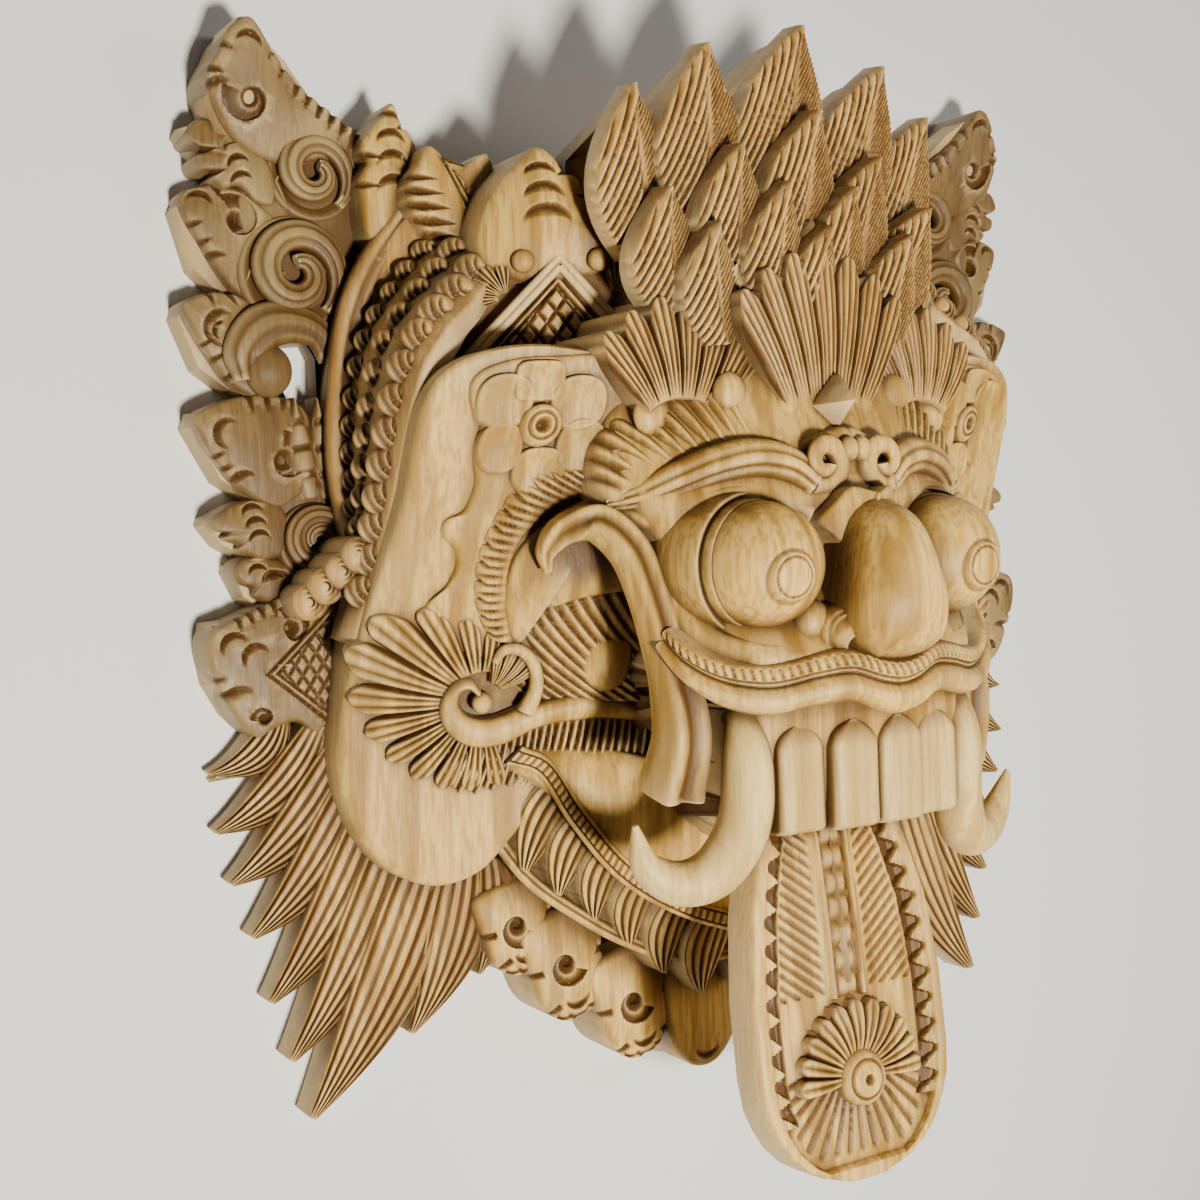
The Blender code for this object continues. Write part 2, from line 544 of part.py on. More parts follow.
def hollows(collection):
    """The hollow behind the face, the mouth's opening, the wing holes and the flat back."""
    wall = units(SHELL)
    rings = []
    for y, width, depth in ((92, 34, 62), (74, 46, 104), (44, 50, 112), (10, 49, 110), (-20, 47, 108), (-46, 46, 106)):
        w = width
        h = depth - wall + 8
        rings.append([(-w, y, UNDER - 10), (-w, y, 0.5 * h), (-w * 0.8, y, 0.86 * h), (-w * 0.4, y, h), (w * 0.4, y, h),
                      (w * 0.8, y, 0.86 * h), (w, y, 0.5 * h), (w, y, UNDER - 10)])
    loft("inside", rings, collection)
    slab("mouth_inside", [(-42, -32), (42, -32), (43, -46), (38, -53), (24, -55), (-24, -55)],
         lambda a, y: 112.2, collection, under=UNDER - 11)
    slab("mouth_corner", [(40, -30.5), (54.2, -30.5), (54.8, -50), (40, -51)], lambda a, y: 112.4, collection, under=101)
    slab("mouth_slit", [(49.5, -31.5), (54.0, -32), (54.6, -49), (52.5, -50)], lambda a, y: 145, collection, under=103)
    slab("teeth_back", [(-46, -40), (47, -40), (47, -80), (-47, -80)], lambda a, y: 112.0, collection, under=104.5)
    width = units(WING_HOLE)
    outer = 150.5
    hole = [(outer, 94), (outer - 0.8 * width, 95), (outer - width, 90), (outer - width, 75),
            (outer - 0.9 * width, 72), (outer - 0.35 * width, 74), (outer - 0.1 * width, 82)]
    slab("wing_hole", hole, lambda a, y: 60, collection, under=UNDER - 12)
    slab("back", [(-400, -400), (400, -400), (400, 400), (-400, 400)], lambda a, y: 0.0, collection, under=-60)


def boolean(obj, name, operation, collection):
    modifier = obj.modifiers.new(name, "BOOLEAN")
    modifier.operation = operation
    modifier.operand_type = "COLLECTION"
    modifier.collection = collection
    modifier.solver = "MANIFOLD"
    return modifier


def main():
    clear_scene()
    carving = helper_collection("carving")
    cuts = helper_collection("cuts")
    wing(carving)
    low_feathers(carving)
    ear(carving)
    petal(carving)
    crown(carving)
    face(carving)
    mouth(carving)
    chin(carving)
    tongue(carving)
    hollows(cuts)
    mask = base_plate(bpy.context.scene.collection)
    mask.name = "mask"
    mask.hide_render = False
    mask.display_type = "TEXTURED"
    mask.data.materials.append(wood())
    boolean(mask, "carving", "UNION", carving)
    boolean(mask, "cuts", "DIFFERENCE", cuts)
    mirror = mask.modifiers.new("other_half", "MIRROR")
    mirror.use_bisect_axis[0] = True
    mirror.use_bisect_flip_axis[0] = False
    mirror.merge_threshold = MERGE
    mirror.bisect_threshold = MERGE


main()
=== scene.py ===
import math
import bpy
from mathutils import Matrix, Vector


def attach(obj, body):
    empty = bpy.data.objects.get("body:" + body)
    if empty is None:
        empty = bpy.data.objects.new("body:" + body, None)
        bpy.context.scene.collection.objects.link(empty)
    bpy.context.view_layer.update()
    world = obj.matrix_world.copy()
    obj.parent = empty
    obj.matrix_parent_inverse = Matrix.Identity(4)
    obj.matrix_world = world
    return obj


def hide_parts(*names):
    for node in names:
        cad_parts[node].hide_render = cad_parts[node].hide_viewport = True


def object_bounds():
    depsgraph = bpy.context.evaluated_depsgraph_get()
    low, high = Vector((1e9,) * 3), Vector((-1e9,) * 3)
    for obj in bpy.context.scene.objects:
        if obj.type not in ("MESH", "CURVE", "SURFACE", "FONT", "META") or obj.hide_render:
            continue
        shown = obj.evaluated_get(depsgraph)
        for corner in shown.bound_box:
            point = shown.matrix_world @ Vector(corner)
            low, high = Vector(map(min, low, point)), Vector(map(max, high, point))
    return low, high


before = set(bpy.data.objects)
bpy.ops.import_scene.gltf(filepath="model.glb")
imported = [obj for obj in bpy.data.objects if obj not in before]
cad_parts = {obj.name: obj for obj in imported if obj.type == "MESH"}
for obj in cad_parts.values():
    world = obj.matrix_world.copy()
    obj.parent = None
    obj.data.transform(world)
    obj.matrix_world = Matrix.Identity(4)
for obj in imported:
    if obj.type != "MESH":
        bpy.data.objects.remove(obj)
from types import SimpleNamespace

import bmesh
import bpy
import numpy as np
from mathutils import Matrix, Vector

# The mask lies on its flat back.  Places are written (a, y, z) in millimetres: a is the distance from
# the plane of symmetry, y runs towards the crown and z stands up from the back.
cadBox = [list(corner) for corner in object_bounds()]
middleY = 3.56
pieces = []


def curve(points, closed=False, steps=24):
    # Catmull-Rom: each span is a cubic through its two ends, steered by the points before and after.
    p = np.asarray(points, float)
    p = np.vstack([p[-1:], p, p[:2]]) if closed else np.vstack([2 * p[0] - p[1], p, 2 * p[-1] - p[-2]])
    spans = len(p) - 3
    u = np.linspace(0, spans, spans * steps + 1)
    i = np.minimum(u.astype(int), spans - 1)
    t = (u - i)[:, None]
    b, c, d, e = p[i], p[i + 1], p[i + 2], p[i + 3]
    return 0.5 * (2 * c + (d - b) * t + (2 * b - 5 * c + 4 * d - e) * t**2 + (3 * c - b - 3 * d + e) * t**3)


def even(line, count, closed=False):
    # The same line with its points spread evenly by running length.
    run = np.concatenate([[0], np.cumsum(np.linalg.norm(np.diff(line, axis=0), axis=1))])
    where = np.linspace(0, run[-1], count, endpoint=not closed)
    return np.stack([np.interp(where, run, line[:, k]) for k in range(line.shape[1])], axis=1)


def line(points, count=60):
    # A smooth curve through the points, as evenly spread points.
    return even(curve(points), count)


def spread(values, count):
    # Chosen values blended softly over the count.
    where = np.linspace(0, (len(values) - 1) * 40, count).astype(int)
    return curve(np.asarray(values, float)[:, None], steps=40)[where, 0]


def soft(x, places, values):
    # A smooth curve through the values at their places.
    order = np.argsort(places)
    way = curve(np.column_stack([np.asarray(places, float)[order], np.asarray(values, float)[order]]))
    return np.interp(x, np.maximum.accumulate(way[:, 0]), way[:, 1])


def shell(rings, carved=0.0, shadedwalls=0.0, both=True):
    # Skins rings of equal count, joined round, with one pole at each end; the other half is its mirror image.
    rings = np.asarray(rings, float)
    nu, nv = rings.shape[:2]
    points = np.concatenate([rings.reshape(-1, 3), rings[:1].mean(axis=1), rings[-1:].mean(axis=1)])
    fields = []
    for field in (carved, shadedwalls):
        field = np.broadcast_to(field, (nu, nv)).astype(float)
        fields.append(np.concatenate([field.ravel(), [field[0].mean(), field[-1].mean()]]))
    i = np.arange(nu - 1)[:, None] * nv
    j = np.arange(nv)[None, :]
    n = (j + 1) % nv
    quads = np.stack([i + j, i + n, i + nv + n, i + nv + j], axis=-1).reshape(-1, 4)
    j, n = j[0], n[0]
    tris = np.concatenate([np.stack([np.full(nv, nu * nv), n, j], axis=-1),
                           np.stack([np.full(nv, nu * nv + 1), (nu - 1) * nv + j, (nu - 1) * nv + n], axis=-1)])
    faces = np.concatenate([quads[:, :3], quads[:, [0, 2, 3]], tris])
    p, q, r = (points[faces[:, k]] for k in range(3))
    if np.einsum("ij,ij->i", p, np.cross(q, r)).sum() < 0:
        quads, tris = quads[:, ::-1], tris[:, ::-1]
    made = [(points, quads, tris, *fields)]
    if both:
        made.append((points * [-1, 1, 1], quads[:, ::-1], tris[:, ::-1], *fields))
    return made


keepShare = 0.31  # how much of each dense mesh is kept


def thinned(mesh):
    # The same surface with fewer triangles: edges collapse where it is flattest, so the cuts keep theirs.
    full = bpy.data.objects.new("full", mesh)
    bpy.context.scene.collection.objects.link(full)
    fewer = full.modifiers.new("fewer", "DECIMATE")
    fewer.ratio = keepShare
    less = bpy.data.meshes.new_from_object(full.evaluated_get(bpy.context.evaluated_depsgraph_get()))
    bpy.data.objects.remove(full)
    bpy.data.meshes.remove(mesh)
    places = np.empty(len(less.vertices) * 3)
    less.vertices.foreach_get("co", places)
    less.vertices.foreach_set("co", np.clip(places.reshape(-1, 3), *cadBox).ravel())
    return less


def piece(name, shells, material):
    # Joins shells into one object at the origin, with the carved depth and the mask of its side walls, which get
    # painted shade, kept on its points.
    points = np.concatenate([s[0] for s in shells])
    offsets = np.cumsum([0] + [len(s[0]) for s in shells[:-1]])
    quads = np.concatenate([s[1] + o for s, o in zip(shells, offsets)])
    tris = np.concatenate([s[2] + o for s, o in zip(shells, offsets)])
    places = np.clip((points - [0, middleY, 0]) * 0.001, *cadBox)
    mesh = bpy.data.meshes.new(name)
    mesh.vertices.add(len(places))
    mesh.vertices.foreach_set("co", places.ravel())
    loops = np.concatenate([quads.ravel(), tris.ravel()])
    mesh.loops.add(len(loops))
    mesh.loops.foreach_set("vertex_index", loops)
    mesh.polygons.add(len(quads) + len(tris))
    starts = np.concatenate([np.arange(len(quads)) * 4, len(quads) * 4 + np.arange(len(tris)) * 3])
    mesh.polygons.foreach_set("loop_start", starts)
    mesh.update(calc_edges=True)
    mesh.validate()
    for key, k in (("carved", 3), ("shadedwalls", 4)):
        field = mesh.attributes.new(key, "FLOAT", "POINT")
        field.data.foreach_set("value", np.concatenate([s[k] for s in shells]))
    mesh = thinned(mesh)
    mesh.name = name
    mesh.shade_smooth()
    mesh.set_sharp_from_angle(angle=math.radians(52))
    obj = bpy.data.objects.new(name, mesh)
    bpy.context.scene.collection.objects.link(obj)
    mesh.materials.append(material)
    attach(obj, "root")
    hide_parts("mask")
    pieces.append(obj)
    print(f"{name}: {len(mesh.loops) - 2 * len(mesh.polygons)} triangles")
    return obj


def roundOff(distance, radius):
    # How far a quarter round of this radius drops at a distance from the rim.
    inside = np.clip(radius - distance, 0, radius)
    return radius - np.sqrt(np.maximum(radius**2 - inside**2, 0))


def plate(outline, centre, top, under, relief=None, around=150, rings=34, edge=1.6, swell=1.2, both=True):
    # A pad over an outline: p = centre + u (outline - centre).  Its height is top + swell (1 - u^2), less
    # a quarter round at the rim, plus the carving; then its wall goes down to under.
    rim = even(curve(outline, closed=True), around, closed=True)
    centre = np.asarray(centre, float)
    u = np.concatenate([np.linspace(0.03, 0.93, rings), [0.955, 0.975, 0.99, 1.0]])[:, None]
    flat = centre + u[..., None] * (rim - centre)
    a, y = flat[..., 0], flat[..., 1]
    cut = relief(a, y) if relief else np.zeros_like(a)
    drop = roundOff((1 - u) * np.linalg.norm(rim - centre, axis=1), edge)
    z = top(a, y) + swell * (1 - u**2) - drop + cut
    low = under(rim[:, 0], rim[:, 1]) if callable(under) else np.full(around, float(under))
    walls = [z[-1] + (low - z[-1]) * k for k in (0.08, 0.5, 1.0)]
    places = np.concatenate([np.stack([a, y, z], axis=-1),
                             [np.stack([rim[:, 0], rim[:, 1], wall], axis=-1) for wall in walls]])
    carved = np.concatenate([np.clip(-cut / 1.5, 0, 1), np.zeros((3, around))])
    # The side walls are marked for painted shade.
    shadedwalls = np.concatenate([np.zeros_like(a), np.ones((3, around))])
    return shell(places, carved, shadedwalls, both)


def ribbon(left, right, relief=None, across=30, bulge=0.0, edge=1.2, under=None, thick=4.0, both=True):
    # A band between two lines: p = left (1 - v) + right v, lifted along its own normal n by
    # 4 bulge v (1 - v), less a quarter round at both rims, plus relief(g); its back lies thick below.
    left, right = np.asarray(left, float), np.asarray(right, float)
    v = 0.5 - 0.5 * np.cos(np.pi * np.linspace(0, 1, across))
    v = 0.45 * v + 0.55 * np.linspace(0, 1, across)
    flat = left[:, None] * (1 - v)[:, None] + right[:, None] * v[:, None]
    normal = np.cross(np.gradient(flat, axis=0), np.gradient(flat, axis=1))
    normal /= np.linalg.norm(normal, axis=2, keepdims=True) + 1e-9
    if normal[..., 2].sum() < 0:
        normal = -normal
    width = np.linalg.norm(right - left, axis=1)[:, None]
    run = np.cumsum(np.linalg.norm(np.gradient((left + right) / 2, axis=0), axis=1))[:, None]
    g = SimpleNamespace(s=run + 0 * v, t=2 * v - 1 + 0 * run, a=flat[..., 0], y=flat[..., 1], half=width / 2,
                        u=np.linspace(0, 1, len(left))[:, None] + 0 * v)
    cut = relief(g) if relief else np.zeros_like(g.s)
    lift = 4 * bulge * v * (1 - v) - roundOff(np.minimum(v, 1 - v) * width, edge) + cut
    top = flat + normal * lift[..., None]
    if under is None:
        back = np.stack([flat[:, -1] - normal[:, -1] * thick, flat[:, 0] - normal[:, 0] * thick], axis=1)
    else:
        back = np.stack([flat[:, -1], flat[:, 0]], axis=1)
        back[..., 2] = under
    carved = np.concatenate([np.clip(-cut / 1.5, 0, 1), np.zeros((len(left), 2))], axis=1)
    # The side walls are marked for painted shade.
    shadedwalls = np.concatenate([np.zeros_like(cut), np.ones((len(left), 2))], axis=1)
    return shell(np.concatenate([top, back], axis=1), carved, shadedwalls, both)


def blade(root, tip, half, relief=None, bow=0.0, blunt=0.1, ridge=2.0, along=46, across=22, under=None, thick=5.0,
          start=0.22, both=True):
    # A leaf along root + (tip - root) t with a sideways bow: its half width is half sin(pi (start + ...)),
    # which leaves the tip blunt, and its middle stands ridge higher than its rims.
    root, tip = np.asarray(root, float), np.asarray(tip, float)
    ahead = (tip - root)[:2] / np.linalg.norm((tip - root)[:2])
    side = np.array([-ahead[1], ahead[0], 0.0])
    t = np.linspace(0, 1, along)[:, None]
    t = 0.6 * t + 0.4 * np.sin(t * np.pi / 2)
    spine = root + (tip - root) * t + side * bow * 4 * t * (1 - t)
    width = half * np.sin(np.pi * (start + (1 - math.asin(blunt) / np.pi - start) * t))
    return ribbon(spine - side * width, spine + side * width, relief, across, ridge, 0.8, under, thick, both)


def tube(path, radii, form=None, around=26, flat=1.0, both=True):
    # A bar along a path: p = path + (radius + form) (cos v side + flat sin v rise).
    path = np.asarray(path, float)
    radius = spread(radii, len(path))[:, None]
    ahead = np.gradient(path, axis=0)
    run = np.cumsum(np.linalg.norm(ahead, axis=1))[:, None]
    ahead /= np.linalg.norm(ahead, axis=1)[:, None]
    side = np.cross(ahead, [0.0, 0.0, 1.0])
    side /= np.linalg.norm(side, axis=1)[:, None]
    rise = np.cross(side, ahead)
    v = np.linspace(0, 2 * np.pi, around, endpoint=False)[None, :]
    cut = form(run, v, radius) if form else np.zeros((len(path), around))
    reach = (radius + cut)[..., None]
    out = np.cos(v)[..., None] * side[:, None] + flat * np.sin(v)[..., None] * rise[:, None]
    return shell(path[:, None] + reach * out, np.clip(-cut / 1.5, 0, 1), both=both)


def ball(centre, radii, form=None, around=36, down=24):
    # An ellipsoid with its poles along z, pushed along z by form(a, y).
    w = np.linspace(0.04, np.pi - 0.04, down)[:, None]
    v = np.linspace(0, 2 * np.pi, around, endpoint=False)[None, :]
    rings = np.stack([centre[0] + radii[0] * np.sin(w) * np.cos(v), centre[1] + radii[1] * np.sin(w) * np.sin(v),
                      centre[2] + radii[2] * np.cos(w) + 0 * v], axis=-1)
    cut = np.where(np.cos(w) > 0, form(rings[..., 0], rings[..., 1]), 0) if form else np.zeros(rings.shape[:2])
    rings[..., 2] += cut
    return shell(rings, np.clip(-cut / 1.5, 0, 1))


def fanLeaf(centre, reach, first, last, fingers, ground, lift=2.0, slope=0.0, flutes=3, notch=0.82, inner=0.12,
            under=None, thick=5.0, across=26, steps=10, both=True, cut=1.6):
    # Fingers about a centre: the tip line is reach (notch + (1 - notch) |sin|^0.7 of each finger), and V
    # flutes run along the rays.  It stands lift above the ground and falls by slope.
    u = np.linspace(0, 1, fingers * steps + 1)
    angle = np.radians(first + (last - first) * u)
    reach = spread(reach, len(u)) if np.ndim(reach) else np.full(len(u), float(reach))
    tip = reach * (notch + (1 - notch) * np.abs(np.sin(np.pi * fingers * u)) ** 0.7)

    def at(distance):
        a, y = centre[0] + distance * np.cos(angle), centre[1] + distance * np.sin(angle)
        return np.stack([a, y, ground(a, y) + lift - slope * distance], axis=1)

    def relief(g):
        fade = np.clip((g.t + 1) * 1.5, 0, 1)
        return -fade * (cut * vee(g.u * fingers, 0.13) + 0.45 * cut * vee(g.u * fingers * flutes, 0.35))
    return ribbon(at(inner * reach.mean() + 0 * u), at(tip), relief, across, 1.5, 0.9, under, thick, both)


def vee(t, width):
    # 1 on each whole number and 0 at width from it.
    return np.clip(1 - np.abs(t - np.round(t)) / width, 0, 1)


def bell(x, at, width):
    # 1 at a place, falling off to both sides.
    return np.exp(-((x - at) / width) ** 2)


def over(ground, lift):
    return lambda a, y: ground(a, y) + lift


def away(a, y, ca, cy):
    # The distance and the bearing, in degrees, from a centre.
    return np.hypot(a - ca, y - cy), np.degrees(np.arctan2(y - cy, a - ca))


def crescent(ca, cy, radius, facing, depth=2.0, span=85, width=0.5):
    # A thumb cut: its floor slopes down outwards to a steep wall on a circle, and fades at both ends.
    def tool(a, y):
        r, angle = away(a, y, ca, cy)
        r = r / radius
        fade = np.clip(1 - (np.abs((angle - facing + 180) % 360 - 180) / span) ** 2, 0, 1)
        wide = width * fade + 0.02
        return -depth * fade * np.clip((r - 1 + wide) / wide, 0, 1) * np.clip((1.16 - r) / 0.16, 0, 1)
    return tool


def nick(pa, py, heading, length=7.0, half=1.6, depth=2.4):
    # A V cut, widest at the rim and running out inwards along its heading.
    c, s = math.cos(math.radians(heading)), math.sin(math.radians(heading))

    def tool(a, y):
        along = ((a - pa) * c + (y - py) * s) / length
        across = np.abs((y - py) * c - (a - pa) * s)
        room = np.clip(1 - along, 0, 1)
        return -depth * room * np.clip(1 - across / (half * room + 0.01), 0, 1) * (along > -0.6)
    return tool


def curl(ca, cy, radius, turns, start, hand=-1, depth=2.0, eye=0.2):
    # A spiral cut: the phase is turns (1 - r) less the turn made; the floor is deepest just inside each
    # whole phase and rises inwards; an eye is sunk at the centre.
    def tool(a, y):
        r, angle = away(a, y, ca, cy)
        r = r / radius
        phase = turns * (1 - r) - (hand * (angle - start) / 360) % 1
        part = phase - np.floor(phase)
        cut = np.clip(1 - part, 0, 1) ** 1.6 * np.clip(part / 0.07, 0, 1)
        cut = np.where((phase < 0) | (r > 1), 0, cut)
        return -depth * cut - 1.6 * depth * np.clip(1.15 - r / eye, 0, 1)
    return tool


def ringCut(ca, cy, radius, width=1.2, depth=1.0):
    # A V line round a circle.
    return lambda a, y: -depth * np.clip(1 - np.abs(away(a, y, ca, cy)[0] - radius) / width, 0, 1)


def lattice(corners, pitch, depth=1.0, angle=55.0):
    # Two sets of V lines crossed at an angle, kept inside a triangle, whose sides are double lines.
    p = np.asarray(corners, float)
    middle = p.mean(axis=0)

    def tool(a, y):
        inside = np.full(np.shape(a), 1e9)
        for k in range(3):
            q, r = p[k], p[(k + 1) % 3]
            n = np.array([r[1] - q[1], q[0] - r[0]]) / np.linalg.norm(r - q)
            n = n if np.dot(middle - q, n) > 0 else -n
            inside = np.minimum(inside, (a - q[0]) * n[0] + (y - q[1]) * n[1])
        c, s = math.cos(math.radians(angle)), math.sin(math.radians(angle))
        lines = np.maximum(vee((a * s + y * c) / pitch, 0.2), vee((a * s - y * c) / pitch, 0.2))
        rim = np.clip(1 - np.abs(inside - 2.0) / 0.7, 0, 1) + np.clip(1 - np.abs(inside + 0.2) / 0.8, 0, 1)
        return -depth * np.where(inside > 2.4, lines, 0) - 1.1 * depth * rim
    return tool


def mirrored(points):
    # A path on one side that ends on the plane of symmetry, and its mirror image after it.
    points = np.asarray(points, float)
    return np.concatenate([points, (points * [-1, 1, 1])[::-1][1:]])


def full(half):
    # An outline on one side, closed by its mirror image.
    return [*half, *[(-a, y) for a, y in reversed(half) if a > 0.5]]


def symmetric(points, count):
    # The smooth curve through a mirrored path, as evenly spread points.
    return even(curve(mirrored(points)), count)


def carve(*tools):
    # All the cuts together.
    return lambda a, y: sum(tool(a, y) for tool in tools)


def flatTop(z, slopeA=0.0, slopeY=0.0, a0=0.0, y0=0.0):
    # A plane through (a0, y0, z).
    return lambda a, y: z + slopeA * (a - a0) + slopeY * (y - y0)


def ring(ca, cy, radius, count=12):
    # The outline of a circle.
    turn = np.linspace(0, 2 * np.pi, count, endpoint=False)
    return np.stack([ca + radius * np.cos(turn), cy + radius * np.sin(turn)], axis=1)


# Materials: one wood, with its grain, stain streaks, pores, painted shade in the cuts, hollows and side walls, and
# painted highlights on the crests worked out in a shared group


def grainGroup():
    # Streaks stretched along the trunk (y), pores, painted shade in the cuts, hollows and side walls, and a painted
    # highlight on the crests; puts out colour and height.
    group = bpy.data.node_groups.new("carvedGrain", "ShaderNodeTree")
    face = group.interface
    for label, kind, value in (("Place", "NodeSocketVector", None),
                               ("Light", "NodeSocketColor", (0.8, 0.6, 0.35, 1)),
                               ("Streak", "NodeSocketColor", (0.6, 0.4, 0.18, 1)),
                               ("Deep", "NodeSocketColor", (0.2, 0.1, 0.03, 1)),
                               ("Rim", "NodeSocketColor", (0.7, 0.5, 0.4, 1)), ("Carved", "NodeSocketFloat", 0.0),
                               ("Shadedwalls", "NodeSocketFloat", 0.0), ("Edge", "NodeSocketFloat", 0.5),
                               ("Open", "NodeSocketFloat", 1.0), ("Streaks", "NodeSocketFloat", 0.5)):
        socket = face.new_socket(label, in_out="INPUT", socket_type=kind)
        if value is not None:
            socket.default_value = value
    face.new_socket("Color", in_out="OUTPUT", socket_type="NodeSocketColor")
    face.new_socket("Height", in_out="OUTPUT", socket_type="NodeSocketFloat")
    face.new_socket("Roughness", in_out="OUTPUT", socket_type="NodeSocketFloat")
    nodes, links = group.nodes, group.links
    source, sink = nodes.new("NodeGroupInput"), nodes.new("NodeGroupOutput")

    def noise(scale, stretch, detail=3.0, rough=0.55):
        mapping = nodes.new("ShaderNodeMapping")
        mapping.inputs["Scale"].default_value = stretch
        links.new(source.outputs["Place"], mapping.inputs["Vector"])
        made = nodes.new("ShaderNodeTexNoise")
        made.inputs["Scale"].default_value = scale
        made.inputs["Detail"].default_value = detail
        made.inputs["Roughness"].default_value = rough
        links.new(mapping.outputs[0], made.inputs["Vector"])
        return made.outputs["Fac"]

    def span(value, low, high, to=1.0, start=0.0):
        made = nodes.new("ShaderNodeMapRange")
        made.inputs["From Min"].default_value = low
        made.inputs["From Max"].default_value = high
        made.inputs["To Min"].default_value = start
        made.inputs["To Max"].default_value = to
        links.new(value, made.inputs["Value"])
        return made.outputs[0]

    def sums(kind, first, second):
        made = nodes.new("ShaderNodeMath")
        made.operation = kind
        made.use_clamp = kind != "SUBTRACT"
        for k, value in enumerate((first, second)):
            if isinstance(value, float):
                made.inputs[k].default_value = value
            else:
                links.new(value, made.inputs[k])
        return made.outputs[0]

    def blend(fac, first, second, kind="MIX"):
        made = nodes.new("ShaderNodeMix")
        made.data_type = "RGBA"
        made.blend_type = kind
        links.new(fac, made.inputs[0])
        for k, value in ((6, first), (7, second)):
            if isinstance(value, tuple):
                made.inputs[k].default_value = value
            else:
                links.new(value, made.inputs[k])
        return made.outputs[2]

    broad = span(noise(115, (1.0, 0.05, 0.4), 2.0), 0.46, 0.60)
    streaks = sums("MULTIPLY", broad, source.outputs["Streaks"])
    color = blend(streaks, source.outputs["Light"], source.outputs["Streak"])
    fine = span(noise(620, (1.0, 0.07, 0.8), 4.0), 0.45, 0.62, 0.55)
    color = blend(fine, color, source.outputs["Streak"])
    patches = span(noise(20, (1, 0.5, 1), 2.0), 0.48, 0.74, 0.35)
    color = blend(patches, color, (0.84, 0.62, 0.26, 1))
    # Painted shade: the side walls take the darker wall colour.
    rims = sums("MULTIPLY", source.outputs["Shadedwalls"], 0.75)
    color = blend(rims, color, source.outputs["Rim"])
    # Painted shade: the cuts darken with their carved depth.
    deep = sums("POWER", source.outputs["Carved"], 0.8)
    deep = sums("MULTIPLY", deep, 0.92)
    color = blend(deep, color, source.outputs["Deep"])
    # Painted shade: hollows, found by low pointiness, darken.
    hollow = span(source.outputs["Edge"], 0.497, 0.440, 0.75)
    color = blend(hollow, color, source.outputs["Deep"])
    shade = span(source.outputs["Open"], 0.97, 0.50, 0.95)
    color = blend(shade, color, source.outputs["Deep"])
    # Painted highlight: sharp crests, found by high pointiness, are lightened.
    crest = span(source.outputs["Edge"], 0.512, 0.60, 0.50)
    color = blend(crest, color, (0.92, 0.70, 0.36, 1))
    pores = span(noise(1500, (1.0, 0.25, 1.0), 2.0), 0.60, 0.72, 0.22)
    color = blend(pores, color, source.outputs["Deep"])
    links.new(color, sink.inputs["Color"])
    tooled = noise(330, (1.0, 0.22, 1.0), 3.0)
    height = sums("ADD", sums("MULTIPLY", tooled, 0.6), sums("MULTIPLY", fine, 0.7))
    links.new(height, sink.inputs["Height"])
    links.new(span(tooled, 0.3, 0.75, 0.62, 0.42), sink.inputs["Roughness"])
    return group


grain = grainGroup()


# rim is the colour of the painted shade on the side walls; deep is the colour of the painted shade in cuts and
# hollows, and of the pores.
def wood(name, light, streak, deep=(0.085, 0.036, 0.008, 1), rim=(0.60, 0.42, 0.30, 1), streaks=0.6, bump=0.25):
    material = bpy.data.materials.new(name)
    material.use_nodes = True
    nodes, links = material.node_tree.nodes, material.node_tree.links
    shader = nodes["Principled BSDF"]
    shader.inputs["Specular IOR Level"].default_value = 0.35
    inner = nodes.new("ShaderNodeGroup")
    inner.node_tree = grain
    for label, value in (("Light", light), ("Streak", streak), ("Deep", deep), ("Rim", rim), ("Streaks", streaks)):
        inner.inputs[label].default_value = value
    links.new(nodes.new("ShaderNodeTexCoord").outputs["Object"], inner.inputs["Place"])
    links.new(nodes.new("ShaderNodeNewGeometry").outputs["Pointiness"], inner.inputs["Edge"])
    # The ambient occlusion feeds the painted shade in the hollows.
    cover = nodes.new("ShaderNodeAmbientOcclusion")
    cover.samples = 6
    cover.inputs["Distance"].default_value = 0.016
    links.new(cover.outputs["AO"], inner.inputs["Open"])
    for label in ("carved", "shadedwalls"):
        field = nodes.new("ShaderNodeAttribute")
        field.attribute_name = label
        links.new(field.outputs["Fac"], inner.inputs[label.capitalize()])
    relief = nodes.new("ShaderNodeBump")
    relief.inputs["Strength"].default_value = bump
    relief.inputs["Distance"].default_value = 0.0006
    links.new(inner.outputs["Height"], relief.inputs["Height"])
    links.new(inner.outputs["Color"], shader.inputs["Base Color"])
    links.new(inner.outputs["Roughness"], shader.inputs["Roughness"])
    links.new(relief.outputs["Normal"], shader.inputs["Normal"])
    return material


# Each wood's rim colour is the painted shade of its side walls.
paleWood = wood("paleWood", (0.80, 0.50, 0.13, 1), (0.34, 0.175, 0.022, 1), rim=(0.50, 0.32, 0.16, 1), streaks=0.85)
tanWood = wood("tanWood", (0.72, 0.43, 0.125, 1), (0.32, 0.15, 0.03, 1), rim=(0.40, 0.24, 0.11, 1))
wingWood = wood("wingWood", (0.20, 0.115, 0.033, 1), (0.09, 0.045, 0.01, 1), rim=(0.20, 0.125, 0.075, 1),
                streaks=0.5)
# The core shows only in the gaps between the carved pieces; its dark colour is painted shade there.
coreShadeWood = wood("coreShadeWood", (0.30, 0.165, 0.05, 1), (0.17, 0.08, 0.02, 1), rim=(0.30, 0.18, 0.10, 1), streaks=0.5)
tuskWood = wood("tuskWood", (0.84, 0.60, 0.22, 1), (0.50, 0.31, 0.08, 1), streaks=0.6)
print("materials made")


# The grounds that the carving stands on: heights over (a, y)
def slopeTop(a, y):
    return 22 + 0.5 * (134 - a)


